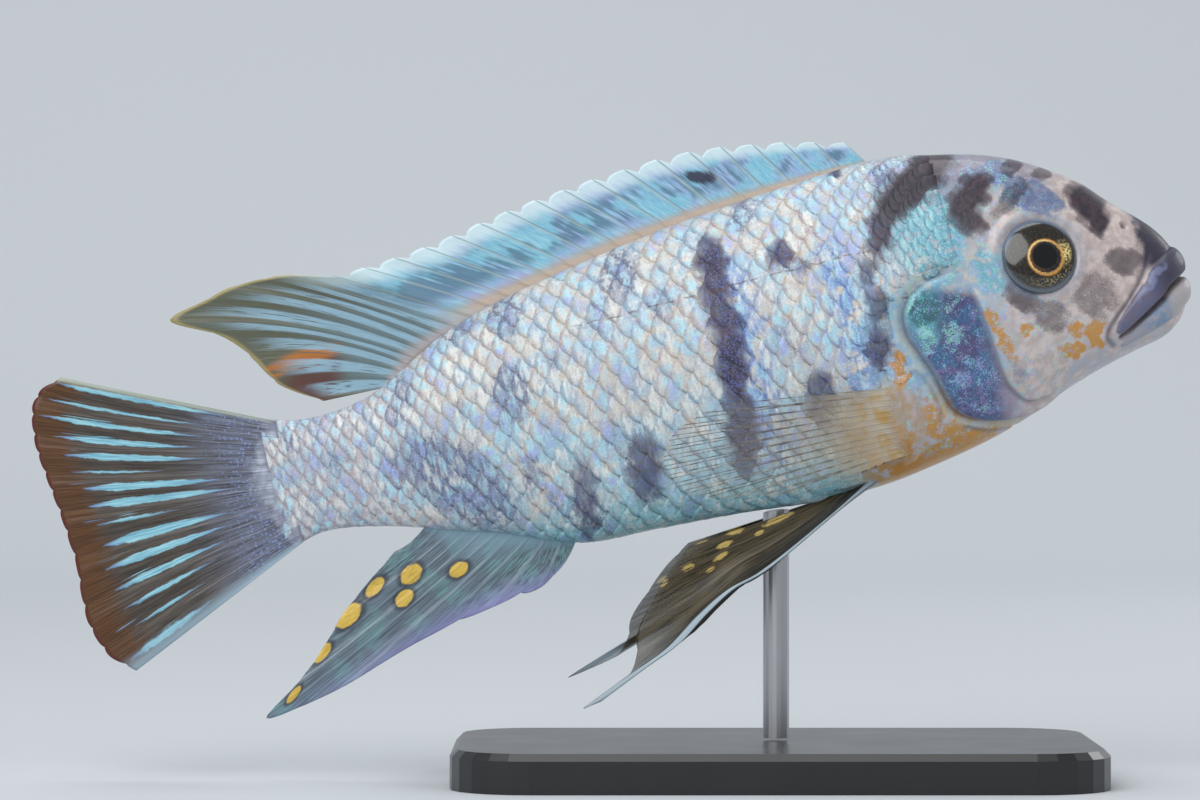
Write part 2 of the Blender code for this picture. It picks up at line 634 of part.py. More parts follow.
def make_base(middle):
    """The stand's flat base, centred at x = middle, its upper edge bevelled."""
    length, width, top = BASE_SIZE
    points, count = [], 0
    for height, inset in [(0, 0), (top - BASE_BEVEL, 0), (top, BASE_BEVEL)]:
        plan = rounded_plan((length - 2 * inset, width - 2 * inset), BASE_CORNER - inset)
        count = len(plan)
        points += [(middle + p.x, p.y, height) for p in plan]
    faces = [tuple(reversed(range(count))), tuple(range(2 * count, 3 * count))]
    for layer in range(2):
        for k in range(count):
            a, b = layer * count + k, layer * count + (k + 1) % count
            faces.append((a, b, b + count, a + count))
    base = new_object("stand_base", points, faces, "base")
    base.data.set_sharp_from_angle(angle=SMOOTH_TO)
    return base


def make_rod(fish_origin, middle):
    """A round rod from the base to the belly at x = middle, its top cut to the belly's curve."""
    bpy.ops.mesh.primitive_cylinder_add(vertices=20, radius=ROD_RADIUS * MM, depth=1)
    rod = bpy.context.object
    rod.name = rod.data.name = "stand_rod"
    low, high = BASE_SIZE[2] + GAP, fish_origin.z + ROD_AT * math.sin(NOSE_UP)
    rod.location.x = middle * MM
    for vertex in rod.data.vertices:
        vertex.co.z = (high if vertex.co.z > 0 else low) * MM
    rod.data.materials.append(material("rod"))
    rod.data.shade_smooth()
    rod.data.set_sharp_from_angle(angle=SMOOTH_TO)
    belly = body_loft("belly", GAP)
    belly.location = fish_origin * MM
    belly.rotation_euler = (0, -NOSE_UP, 0)
    return keep_largest(combine(rod, belly, "DIFFERENCE"))


def tilted(u, v):
    """World x and z of a point at u, v before the fish is moved to its place."""
    return u * math.cos(NOSE_UP) - v * math.sin(NOSE_UP), u * math.sin(NOSE_UP) + v * math.cos(NOSE_UP)


def main():
    for old in list(bpy.data.objects):
        bpy.data.objects.remove(old)
    fish = [make_head(), make_jaw(), make_gill_cover(1, "gill_cover_left"),
            make_gill_cover(-1, "gill_cover_right"), make_trunk(), make_tail_stem(),
            make_dorsal_fin(), make_anal_fin(), make_tail_fin(),
            make_pelvic_fin(1, "pelvic_fin_left", LEFT_PELVIC_SWING),
            make_pelvic_fin(-1, "pelvic_fin_right", 0.0),
            make_pectoral_fin(1, "pectoral_fin_left"), make_pectoral_fin(-1, "pectoral_fin_right"),
            make_eye(1, "eye_left"), make_eye(-1, "eye_right")]

    # The fish hangs over the base by its lowest tip, and its ends lie equally far from x = 0
    reach = [tilted(p.co.x / MM, p.co.z / MM) for piece in fish for p in piece.data.vertices]
    ends = [x for x, z in reach]
    fish_origin = Vector((-(min(ends) + max(ends)) / 2, 0,
                          BASE_SIZE[2] + FIN_CLEARANCE - min(z for x, z in reach)))
    pose = bpy.data.objects.new("fish_pose", None)
    bpy.context.scene.collection.objects.link(pose)
    pose.location = fish_origin * MM
    pose.rotation_euler = (0, -NOSE_UP, 0)
    for piece in fish:
        piece.parent = pose

    carried = fish_origin.x + tilted(ROD_AT, smooth(BELLY_LINE, ROD_AT))[0]
    make_base(carried)
    make_rod(fish_origin, carried)


main()
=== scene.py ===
# %% [markdown]
# # Zebra mbuna, life size, on a display stand
# This file dresses a imported model of a small lake cichlid, an adult male about 13 cm long. The
# imported solids say where everything is. Here one fine skin, its scales, thin fins with their
# rays, and wet eyes take their place, in the same frame and in metres.
# The first cell loads the solids and bakes each one's place into its mesh.

import math

import bmesh
import bpy
import numpy as np
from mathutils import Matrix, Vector


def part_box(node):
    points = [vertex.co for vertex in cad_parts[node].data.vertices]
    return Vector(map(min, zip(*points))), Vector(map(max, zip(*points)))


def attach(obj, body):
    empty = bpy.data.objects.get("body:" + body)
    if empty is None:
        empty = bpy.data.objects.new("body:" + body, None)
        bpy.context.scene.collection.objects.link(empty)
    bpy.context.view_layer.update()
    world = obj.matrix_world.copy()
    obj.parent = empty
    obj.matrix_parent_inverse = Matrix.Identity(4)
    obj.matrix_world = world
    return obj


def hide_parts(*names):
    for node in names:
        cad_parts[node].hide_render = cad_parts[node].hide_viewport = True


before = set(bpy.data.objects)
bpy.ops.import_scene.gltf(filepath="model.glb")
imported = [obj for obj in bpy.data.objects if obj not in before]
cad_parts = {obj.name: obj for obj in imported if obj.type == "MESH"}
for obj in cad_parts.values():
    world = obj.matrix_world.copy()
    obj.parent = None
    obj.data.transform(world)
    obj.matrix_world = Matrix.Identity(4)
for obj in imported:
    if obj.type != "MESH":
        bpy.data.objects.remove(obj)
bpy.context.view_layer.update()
print("nodes in the frame:", len(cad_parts))

# %% [markdown]
# ## The fish's own frame
# A fish is easiest to describe lying level. Lengths below are millimetres in its own frame:
# u runs forward from the root of the tail fin, y is to its left and v is up. The body is then
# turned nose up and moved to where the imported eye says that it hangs.

# %% From the fish's millimetres to the world's metres
MM = 0.001
NOSE_UP = math.radians(13)
EYE_AT = (89.3, 5.4)
COS, SIN = math.cos(NOSE_UP), math.sin(NOSE_UP)

eye_low, eye_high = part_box("eye_right")
eye_middle = (eye_low + eye_high) / 2 / MM
ORIGIN = (eye_middle.x - EYE_AT[0] * COS + EYE_AT[1] * SIN,
          eye_middle.z - EYE_AT[0] * SIN - EYE_AT[1] * COS)


def to_world(points):
    """World metres of an array of (u, y, v) in the fish's millimetres."""
    u, y, v = np.moveaxis(np.asarray(points, float), -1, 0)
    return np.stack([ORIGIN[0] + u * COS - v * SIN, y, ORIGIN[1] + u * SIN + v * COS], -1) * MM


def turned(arrows):
    """World direction of an array of (u, y, v) directions."""
    u, y, v = np.moveaxis(np.asarray(arrows, float), -1, 0)
    return np.stack([u * COS - v * SIN, y, u * SIN + v * COS], -1)


print("the fish's origin hangs at", [round(x, 2) for x in ORIGIN], "mm")

# %% [markdown]
# ## Small helpers
# A smooth curve through a few points gives every outline, and a soft step gives every edge of a
# form.

# %% Curves and steps
def curve(points):
    """Smooth function through (x, value) points, level beyond its ends."""
    xs, ys = np.array(points, float).T
    before = np.maximum(np.arange(len(xs)) - 1, 0)
    after = np.minimum(np.arange(len(xs)) + 1, len(xs) - 1)
    slopes = (ys[after] - ys[before]) / (xs[after] - xs[before])

    def value(x):
        x = np.clip(x, xs[0], xs[-1])
        i = np.clip(np.searchsorted(xs, x, side="right") - 1, 0, len(xs) - 2)
        span = xs[i + 1] - xs[i]
        t = (x - xs[i]) / span
        ends = ys[i] * (1 + 2 * t) * (1 - t) ** 2 + ys[i + 1] * t * t * (3 - 2 * t)
        return ends + span * (slopes[i] * t * (1 - t) ** 2 - slopes[i + 1] * t * t * (1 - t))

    return value


def soft_step(x, low, high):
    """0 below low, 1 above high, and a smooth rise between."""
    t = np.clip((np.asarray(x, float) - low) / (high - low), 0, 1)
    return t * t * (3 - 2 * t)


def bell(x, width):
    """1 at x = 0, falling off to little at twice the width."""
    return np.exp(-(x / width) ** 2)


print("half way up a soft step:", float(soft_step(0.5, 0, 1)))

# %% [markdown]
# ## The body's outline
# These curves are the same as the solids', so that skin and solids agree: the back, the belly,
# the half width, and how square each half of a section is.

# %% Outline curves
BACK_LINE = [(-1.5, 7.5), (3, 6.3), (8, 6.4), (12.5, 7.5), (17, 9.9), (21.5, 12.2), (27.5, 14.2),
             (35, 15.8), (44, 17.5), (54, 18.9), (64, 19.9), (72, 20.5), (76, 20.4), (80, 19.7),
             (85, 18.6), (89, 17.1), (92.5, 15.1), (96.2, 12.5), (98.8, 9.8), (101.6, 7.4), (105.6, 5.4)]
BELLY_LINE = [(-1.5, -8.4), (2.5, -7.2), (7, -7.5), (13, -8.9), (18, -10.5), (23, -11.9),
              (28, -13.9), (32.5, -15.2), (40, -15.4), (50, -15.8), (60, -16.6), (67, -16.4),
              (74, -15.3), (80, -14), (85, -12.4), (89.5, -10.4), (94, -8.8), (99, -7.5), (105.6, -6.3)]
HALF_WIDTH = [(-1.5, 1.2), (3, 2), (8, 2.7), (14, 3.5), (22, 4.8), (32, 6.2), (44, 7.6), (56, 8.5),
              (68, 8.9), (78, 8.9), (85, 8.4), (91, 7.5), (97, 6.1), (105.6, 4.4)]
WIDEST_AT = [(-1.5, -0.4), (30, 0.4), (56, 1.2), (72, -0.2), (90, 0.2), (105.6, -1.2)]
UPPER_FULLNESS = [(-1.5, 2), (20, 1.9), (60, 1.85), (76, 2), (90, 2.35), (105.6, 2.3)]
LOWER_FULLNESS = [(-1.5, 2), (30, 2), (62, 2.25), (80, 2), (105.6, 2.2)]
SNOUT_CLOSES_AT = 100
SNOUT_TIP = (105.4, -1.1)
SNOUT_BLUNTNESS = 2.4
SKIN_INSET = 0.2                # the skin lies this far inside the solids, under its scales

back_line, belly_line, half_width = curve(BACK_LINE), curve(BELLY_LINE), curve(HALF_WIDTH)
widest_at, upper_fullness, lower_fullness = curve(WIDEST_AT), curve(UPPER_FULLNESS), curve(LOWER_FULLNESS)


def inset(u):
    """How far the skin is set in at u: under the scales, but not on the bare snout."""
    return SKIN_INSET * (1 - soft_step(u, 84, 96))


def section(u):
    """Top, bottom, half width, widest height and two fullnesses of the body at each u."""
    share = np.clip((u - SNOUT_CLOSES_AT) / (SNOUT_TIP[0] - SNOUT_CLOSES_AT), 0, 1)
    left = (1 - share ** SNOUT_BLUNTNESS) ** (1 / SNOUT_BLUNTNESS)
    top = SNOUT_TIP[1] + (back_line(u) - inset(u) - SNOUT_TIP[1]) * left
    bottom = SNOUT_TIP[1] + (belly_line(u) + inset(u) - SNOUT_TIP[1]) * left
    middle = SNOUT_TIP[1] + (widest_at(u) - SNOUT_TIP[1]) * left
    wide = (half_width(u) - inset(u)) * left
    return top, bottom, wide, middle, upper_fullness(u), lower_fullness(u)


def body_point(u, angle):
    """Points on the skin at u, with angle 0 at the back and half a turn at the belly."""
    top, bottom, wide, middle, upper, lower = section(u)
    side, height = np.sin(angle), np.cos(angle)
    full = np.where(height > 0, upper, lower)
    reach = np.where(height > 0, top - middle, middle - bottom)
    y = np.sign(side) * np.abs(side) ** (2 / full) * wide
    v = middle + np.sign(height) * np.abs(height) ** (2 / full) * reach
    return np.stack([u + 0 * y, y, v], -1)


def width_at(u, v):
    """Half width of the body at u and height v."""
    top, bottom, wide, middle, upper, lower = section(np.asarray(u, float))
    above = v > middle
    share = np.clip(np.abs(v - middle) / np.where(above, top - middle, middle - bottom), 0, 1)
    full = np.where(above, upper, lower)
    return wide * (1 - share ** full) ** (1 / full)


print("greatest half width:", float(half_width(72)), "mm")

# %% [markdown]
# ## Lines on the head
# A cichlid's head is read by its lines: the mouth between thick lips, the fold behind the upper
# lip, the edge of the cheek plate and the free edge of the gill cover. Each is a short list of
# points in side view, laid on the body's surface as a fine polyline.

# %% Lines laid on the surface
MOUTH = {"corner": (96.5, -5.8), "side": (102.2, -2.5), "front": -0.35}
UPPER_LIP = {"corner": (96.6, -4.8), "side": (101.9, -0.9), "front": 1.35}
LOWER_LIP = {"corner": (96.8, -6.5), "side": (102.6, -3.9), "front": -2.1}
CHEEK_EDGE = [(80.8, 3.6), (81.2, 1.7), (81.7, -1.8), (82, -4.2), (82.3, -7), (83.3, -9.2), (84.9, -10.2),
              (88.4, -9.8)]
GILL_EDGE = [(81.6, 5.2), (79.4, 5.7), (76.4, 5.3), (74.2, 4.3), (72.9, 2.5), (72.7, 0), (73.7, -2.6),
             (74.7, -5), (75.3, -7.4), (76.2, -9.5), (78.3, -11), (81.4, -11.8), (85, -11.6), (88.4, -10.4),
             (91.5, -9.2)]
THROAT_FOLD = [(76.8, -11.9), (80, -13), (84, -12.8), (88, -11.4), (92, -10)]
SHOULDER_FOLD = [(70.2, -5.6), (71.2, -4.7), (72.7, -4.6), (73.8, -6.2), (74.4, -8.5), (74.2, -10.8),
                 (73, -13)]
LIP_FOLD = [(101.6, 2.6), (100.2, 0.4), (98.2, -1.9), (96, -3.9), (94.9, -5.4), (95.4, -6.6)]


def fine_line(points, steps=8):
    """A smooth polyline through (u, v) points, with steps pieces between two of them."""
    number = np.arange(len(points))
    at = np.linspace(0, len(points) - 1, (len(points) - 1) * steps + 1)
    return np.stack([curve(list(zip(number, [p[k] for p in points])))(at) for k in (0, 1)], -1)


def on_flank(line):
    """(u, y, v) of a (u, v) polyline laid on the left flank."""
    u, v = np.asarray(line, float).T
    return np.stack([u, width_at(u, v), v], -1)


def front_at(y, v):
    """u of the foremost skin at y and v, by halving."""
    low, high = np.full(len(y), SNOUT_CLOSES_AT, float), np.full(len(y), SNOUT_TIP[0], float)
    for _ in range(30):
        middle = (low + high) / 2
        top, bottom = section(middle)[:2]
        inside = (bottom < v) & (v < top) & (width_at(middle, v) > y)
        low, high = np.where(inside, middle, low), np.where(inside, high, middle)
    return low


def mouth_line(shape, steps=16):
    """A line on the left side, from the mouth's corner to its side and round to the middle."""
    side = on_flank(np.linspace(shape["corner"], shape["side"], steps, endpoint=False))
    turn = np.linspace(math.pi / 2, 0, steps)
    wide = width_at(*shape["side"])
    y, v = wide * np.sin(turn), shape["front"] + (shape["side"][1] - shape["front"]) * (1 - np.cos(turn))
    front = np.stack([front_at(y, v), y, v], -1)
    front[0, 0] = shape["side"][0]
    return np.concatenate([side, front])


def distance_to(points, line):
    """Distance of each point to a polyline, and the share along it of the nearest place."""
    best, share = np.full(points.shape[:-1], 1e9), np.zeros(points.shape[:-1])
    count = len(line) - 1
    for k in range(count):
        start, along = line[k], line[k + 1] - line[k]
        t = np.clip(((points - start) @ along) / (along @ along), 0, 1)
        away = np.linalg.norm(points - start - t[..., None] * along, axis=-1)
        nearer = away < best
        best, share = np.where(nearer, away, best), np.where(nearer, (k + t) / count, share)
    return best, share


def inside_of(points, outline):
    """True where (u, v) lies inside a closed outline, by counting crossings."""
    u, v = points[..., 0], points[..., 1]
    odd = np.zeros(u.shape, bool)
    for (u0, v0), (u1, v1) in zip(outline, np.roll(outline, -1, axis=0)):
        if v0 != v1:
            odd ^= ((v0 > v) != (v1 > v)) & (u < u0 + (v - v0) / (v1 - v0) * (u1 - u0))
    return odd


mouth, upper_lip, lower_lip = mouth_line(MOUTH), mouth_line(UPPER_LIP), mouth_line(LOWER_LIP)
gill_edge, cheek_edge = fine_line(GILL_EDGE), fine_line(CHEEK_EDGE)
throat_fold, shoulder_fold, lip_fold = [fine_line(line) for line in (THROAT_FOLD, SHOULDER_FOLD, LIP_FOLD)]
print("the mouth line has", len(mouth), "points a side")

# %% [markdown]
# ## The skin
# One skin covers head, jaw, gill covers, trunk and tail stem, so that no seam shows. It is a
# loft of many rings, closest together on the head, whose points are then moved along their
# normals: out for lips, cheek plate and gill cover, in for the mouth, eye sockets and nostrils.

# %% Relief of the head and the shoulder
NOSTRIL_AT, NOSTRIL_RADIUS = (99.6, 6.5), 0.62
LOBE_AT, LOBE_SIZE, LOBE_STANDS = (69.3, -9.6), (3.3, 5.0), 1.1     # the fleshy base of the pectoral fin
MOUTH_DEPTH, LIP_FOLD_DEPTH, SOCKET_DEPTH, NOSTRIL_DEPTH = 0.75, 0.22, 1.3, 0.5
GILL_STANDS, GILL_GROOVE_DEPTH, CHEEK_STANDS, CHEEK_GROOVE_DEPTH = 0.6, 0.4, 0.36, 0.24
THROAT_DEPTH, SHOULDER_DEPTH = 0.3, 0.28


def lip_relief(points, line, thin, thick, stands):
    """Height of a rounded lip, widest at the middle of the mouth."""
    away, share = distance_to(points, line)
    full = np.sin(np.clip(share, 0, 1) * math.pi / 2) ** 0.6
    wide = thin + (thick - thin) * full
    return stands * (0.45 + 0.55 * full) * np.clip(1 - (away / wide) ** 2, 0, 1) ** 0.6


def relief(points):
    """How far each skin point moves out, in mm, and fields that say what lies where."""
    left = points * (1, 0, 1) + np.abs(points) * (0, 1, 0)
    side_view = left[..., [0, 2]]
    out = np.zeros(points.shape[:-1])
    fields = {name: np.zeros(out.shape)
              for name in ("lips", "mouth", "crease_shade", "gill_rim", "gill", "eye_rim")}

    head = left[..., 0] > 90
    spots = left[head]
    from_mouth, share = distance_to(spots, mouth)
    upper = lip_relief(spots, upper_lip, 0.75, 1.7, 0.85)
    lower = lip_relief(spots, lower_lip, 0.6, 1.5, 0.7)
    fold, _ = distance_to(spots, on_flank(lip_fold))
    fades = soft_step(share, 0.0, 0.08)
    lips = (upper + lower) * (1 - 0.16 * soft_step(spots[:, 0], 102.5, 105))
    out[head] += lips - MOUTH_DEPTH * bell(from_mouth, 0.24) * (0.5 + 0.5 * fades)
    out[head] -= LIP_FOLD_DEPTH * bell(fold, 0.28)
    fields["lips"][head] = soft_step(upper, 0, 0.3) - soft_step(lower, 0, 0.3)
    fields["mouth"][head] = bell(from_mouth, 0.3)
    # the crease field marks where shade is painted: in the lip fold here, and below at the nostril, gill
    # cover, cheek plate, throat and shoulder
    fields["crease_shade"][head] = bell(fold, 0.35)

    eye = np.array([EYE_AT[0], float(width_at(*EYE_AT)), EYE_AT[1]])
    from_eye = np.linalg.norm(left - eye, axis=-1)
    out -= SOCKET_DEPTH * (1 - soft_step(from_eye, 3.5, 4.55))
    out += 0.2 * bell(from_eye - 5.1, 0.55) - 0.1 * bell(from_eye - 6.3, 0.5)
    fields["eye_rim"] = bell(from_eye - 4.75, 0.4)

    nostril = np.array([NOSTRIL_AT[0], float(width_at(*NOSTRIL_AT)), NOSTRIL_AT[1]])
    from_nostril = np.linalg.norm(left - nostril, axis=-1)
    out += 0.16 * bell(from_nostril - NOSTRIL_RADIUS, 0.25) - NOSTRIL_DEPTH * bell(from_nostril, 0.33)
    fields["crease_shade"] += bell(from_nostril, 0.35)

    near = (left[..., 0] > 60) & (left[..., 0] < 100)
    spots, flat = left[near], side_view[near]
    from_gill, _ = distance_to(spots, on_flank(gill_edge))
    closed = np.concatenate([gill_edge, [(91.5, 0), (88, 5.2)]])
    in_gill = np.where(inside_of(flat, closed), from_gill, -from_gill)
    edge = GILL_STANDS * soft_step(in_gill, -0.3, 0.3) * np.exp(-np.abs(in_gill) / 5)
    edge -= GILL_GROOVE_DEPTH * bell(in_gill + 0.5, 0.45)
    fades = 1 - soft_step(flat[:, 0], 78, 82) * soft_step(flat[:, 1], 0, 4)
    fades *= 1 - soft_step(flat[:, 0], 86, 91)
    edge *= fades
    fields["crease_shade"][near] += bell(in_gill + 0.25, 0.3) * fades
    fields["gill_rim"][near] = bell(in_gill + 0.9, 0.45) * fades
    from_cheek, _ = distance_to(spots, on_flank(cheek_edge))
    ahead = inside_of(flat, np.concatenate([cheek_edge, [(100, -9.8), (100, 3.6)]]))
    in_cheek = np.where(ahead, from_cheek, -from_cheek)
    plate = CHEEK_STANDS * soft_step(in_cheek, -0.3, 0.3) * np.exp(-np.abs(in_cheek) / 2.5)
    plate -= CHEEK_GROOVE_DEPTH * bell(in_cheek + 0.35, 0.35)
    fades = (1 - soft_step(flat[:, 1], 2, 4.2)) * (1 - soft_step(flat[:, 0], 85, 88.4))
    plate *= fades
    fields["crease_shade"][near] += 0.5 * bell(in_cheek + 0.15, 0.28) * fades
    fields["gill"][near] = (soft_step(in_gill, -0.1, 0.4) * (1 - soft_step(in_cheek, -0.5, 0.2))
                            * (1 - soft_step(flat[:, 1] + (flat[:, 0] - 75) * 0.36, 4.2, 5.6))
                            * (1 - soft_step(flat[:, 0], 86, 90)))
    throat, _ = distance_to(spots, on_flank(throat_fold))
    shoulder, share = distance_to(spots, on_flank(shoulder_fold))
    fades = soft_step(share, 0, 0.12) * (1 - soft_step(share, 0.7, 1))
    out[near] += edge + plate - THROAT_DEPTH * bell(throat, 0.35)
    out[near] -= SHOULDER_DEPTH * bell(shoulder, 0.3) * fades
    fields["crease_shade"][near] += 0.6 * bell(throat, 0.3) + 0.4 * bell(shoulder, 0.26) * fades

    around = np.hypot(*np.moveaxis((side_view - LOBE_AT) / LOBE_SIZE, -1, 0))
    out += LOBE_STANDS * np.clip(1 - around ** 2, 0, 1) ** 0.9 * soft_step(left[..., 1], 3, 5)
    return out, fields


print("the gill cover's edge stands out by", GILL_STANDS, "mm")

# %% [markdown]
# Skin, fins and eyes are grids of points. They could be shaped by hand, but an array is exact and
# easy to change. These helpers make the mesh, note numbers on its points, and lay out its unwrap.

# %% A grid of points becomes a mesh
UV_MARGIN = 0.02


def placed(name, data):
    """A new object in the scene, at the world's origin."""
    made = bpy.data.objects.new(name, data)
    bpy.context.scene.collection.objects.link(made)
    return made


def new_mesh(name, points, faces, finish=None):
    """A smooth-shaded object from (u, y, v) points, placed in the world through its mesh."""
    mesh = bpy.data.meshes.new(name)
    mesh.from_pydata(to_world(points).tolist(), [], faces)
    if finish:
        mesh.materials.append(finish)
    mesh.shade_smooth()
    return placed(name, mesh)


def note(mesh, name, values, kind="FLOAT"):
    """Keeps one value for each point of a mesh, for its material to read."""
    field = {"FLOAT": "value", "FLOAT_VECTOR": "vector"}[kind]
    kept = mesh.attributes.new(name, kind, "POINT")
    kept.data.foreach_set(field, np.asarray(values, np.float32).ravel())


def corner_points(mesh):
    """The number of the point at each corner of each face."""
    corners = np.empty(len(mesh.loops), int)
    mesh.loops.foreach_get("vertex_index", corners)
    return corners


def lay_out(mesh, places, margin=UV_MARGIN):
    """The unwrap, from a place between 0 and 1 for each corner, kept a margin from the border."""
    places = places * (1 - 2 * margin) + margin
    mesh.uv_layers.new(name="OFBake").data.foreach_set("uv", places.astype(np.float32).ravel())


def face_outwards(mesh):
    """Turns all faces of a closed mesh outwards."""
    work = bmesh.new()
    work.from_mesh(mesh)
    bmesh.ops.recalc_face_normals(work, faces=work.faces)
    work.to_mesh(mesh)
    work.free()


print("every unwrap keeps a margin of", UV_MARGIN)

# %% [markdown]
# The head has the finest lines, so its rings stand closest. A subdivided cage would need fewer
# points, but it would blur the mouth and the gill cover's edge.

# %% The skin's rings
SKIN_SIDES = 264
TRUNK_RINGS, HEAD_RINGS, SNOUT_RINGS = 110, 170, 50
HEAD_FROM = 70

snout_turn = np.linspace(0, math.pi / 2, SNOUT_RINGS, endpoint=False)
snout_share = np.sin(snout_turn) ** (2 / SNOUT_BLUNTNESS)
ring_u = np.concatenate([np.linspace(BACK_LINE[0][0], HEAD_FROM, TRUNK_RINGS, endpoint=False),
                         np.linspace(HEAD_FROM, SNOUT_CLOSES_AT, HEAD_RINGS, endpoint=False),
                         SNOUT_CLOSES_AT + (SNOUT_TIP[0] - SNOUT_CLOSES_AT) * snout_share])
side_turn = np.arange(SKIN_SIDES) / SKIN_SIDES * math.tau


def skin_surface(us, angles):
    """Skin points and their outward normals on a grid of u and angle, without the relief."""
    points = body_point(us, angles)
    small = 1e-3
    along = body_point(us + small, angles) - body_point(us - small, angles)
    round_ = body_point(us, angles + small) - body_point(us, angles - small)
    normal = np.cross(along, round_)
    normal /= np.maximum(np.linalg.norm(normal, axis=-1, keepdims=True), 1e-12)
    return points, normal


def make_skin():
    """The whole skin as one closed mesh with its unwrap."""
    us, angles = ring_u[:, None], side_turn[None, :] + 1e-4
    points, normal = skin_surface(us, angles)
    moved, fields = relief(points)
    points = points + normal * moved[..., None]
    rings, sides = points.shape[:2]
    ring, side = np.meshgrid(np.arange(rings - 1), np.arange(sides), indexing="ij")
    after = (side + 1) % sides
    quads = np.stack([ring * sides + side, (ring + 1) * sides + side,
                      (ring + 1) * sides + after, ring * sides + after], -1).reshape(-1, 4)
    tail, snout = rings * sides, rings * sides + 1
    last = (rings - 1) * sides
    k = np.arange(sides)
    caps = [(tail, a, b) for a, b in zip(k, (k + 1) % sides)]
    caps += [(snout, last + b, last + a) for a, b in zip(k, (k + 1) % sides)]
    flat = points.reshape(-1, 3)
    ends = [(BACK_LINE[0][0], 0, -0.4), (SNOUT_TIP[0] + 0.02, 0, SNOUT_TIP[1])]
    skin = new_mesh("skin", np.concatenate([flat, ends]), quads.tolist() + caps)
    for field, values in fields.items():
        note(skin.data, field, np.append(values, (0, 0)))
    outward = np.concatenate([turned(normal.reshape(-1, 3)), [(-1, 0, 0), (1, 0, 0)]])
    note(skin.data, "outward", outward, "FLOAT_VECTOR")
    span = ring_u[-1] - ring_u[0]
    lengths = np.append((np.repeat(ring_u, sides) - ring_u[0]) / span, (0, 1))
    turns = np.append(np.tile(k / sides, rings), (0.5, 0.5))
    places = np.stack([lengths, turns], -1)[corner_points(skin.data)]
    quad_turns = places[:len(quads) * 4, 1].reshape(-1, 4)
    quad_turns[(quad_turns.max(1) > 0.9)[:, None] & (quad_turns < 0.1)] += 1
    lay_out(skin.data, places)
    return skin


skin = make_skin()
print("skin:", len(skin.data.polygons), "faces")

# %% [markdown]
# ## Where the scales grow
# Scales sit in rows that run along the body, each row half a step behind the last, and fewer
# rows fit where the body narrows. So the rows are counted up and down from mid-flank by the
# distance round the body, not by angle, and their pitch shrinks gently towards the tail.

# %% Distance round the body
ROW_PITCH = [(-1.5, 1.2), (8, 1.35), (25, 1.7), (45, 1.95), (64, 1.95), (73, 1.5), (80, 1.05)]
SCALE_STEP = [(-1.5, 1.4), (8, 1.6), (25, 2.1), (45, 2.35), (62, 2.35), (73, 1.6), (80, 1.1)]
SCALES_FROM, SCALES_TO = 80, -1
SCALE_LIFT = [(-1.5, 0.4), (10, 0.52), (30, 0.62), (56, 0.6), (66, 0.36), (74, 0.16), (80, 0.06)]
row_pitch, scale_step, scale_lift = curve(ROW_PITCH), curve(SCALE_STEP), curve(SCALE_LIFT)

table_u = np.linspace(BACK_LINE[0][0], 96, 260)
table_turn = np.linspace(0, math.pi, 361)
table_points = body_point(table_u[:, None], table_turn[None, :])
steps = np.linalg.norm(np.diff(table_points, axis=1)[..., 1:], axis=-1)
table_round = np.concatenate([np.zeros((len(table_u), 1)), np.cumsum(steps, 1)], 1)
middle_round = np.array([np.interp(0, widest - row[:, 2] + 1e-6 * np.arange(len(row)), lengths)
                         for widest, row, lengths in zip(widest_at(table_u), table_points, table_round)])


def turn_at(u, up):
    """Angle of the place that lies a distance up from mid-flank, or None past back or belly."""
    i = int(np.clip(np.searchsorted(table_u, u), 1, len(table_u) - 1))
    t = (u - table_u[i - 1]) / (table_u[i] - table_u[i - 1])
    lengths = table_round[i - 1] * (1 - t) + table_round[i] * t
    here = middle_round[i - 1] * (1 - t) + middle_round[i] * t - up
    if here < 0.25 or here > lengths[-1] - 0.1:
        return None
    return float(np.interp(here, lengths, table_turn))


print("half way round the shoulder:", round(float(table_round[200, -1]), 1), "mm")

# %% [markdown]
# Perfectly even roots would look like netting, so each moves by a small draw along its row. Face,
# gill cover, breast and the fin's lobe stay bare, and so does a strip along the gill cover's
# edge, where a scale would fold over the relief.

# %% Where each scale is rooted
EYE_CLEAR = 6.6                 # no scale is rooted nearer to the eye's middle
GILL_CLEAR, GILL_FROM = 1.4, 71     # none lies nearer to the gill cover's edge, ahead of this u
LOBE_CLEAR, LOBE_LONGER = 1.25, 0.5     # none lies within the lobe, made this much larger
SCALE_LENGTH, SCALE_WIDTH = 1.8, 2.2    # in steps along the row, and in rows across
ROWS_A_SIDE, ROOT_SHIFT = 24, 0.12
BREAST_OUTLINE = [(74, -3), (70.6, -4.6), (67.6, -10), (65, -14), (61, -16), (60, -18), (74, -18),
                  (92, -14), (80, -8), (74, -3)]


def bare(u, v, length):
    """True where a scale would lie on the face, gill cover, breast, eye or the fin's lobe."""
    if math.hypot(u - EYE_AT[0], v - EYE_AT[1]) < EYE_CLEAR:
        return True
    from_lobe = ((u - length * 0.4 - LOBE_AT[0]) / (LOBE_SIZE[0] + LOBE_LONGER),
                 (v - LOBE_AT[1]) / LOBE_SIZE[1])
    if math.hypot(*from_lobe) < LOBE_CLEAR:
        return True
    line = np.array([[u, v], [u - length / 2, v], [u - length, v]])
    if u > GILL_FROM and (distance_to(line, gill_edge)[0] < GILL_CLEAR).any():
        return True
    return bool((inside_of(line, face_outline) | inside_of(line, breast_outline)).any())


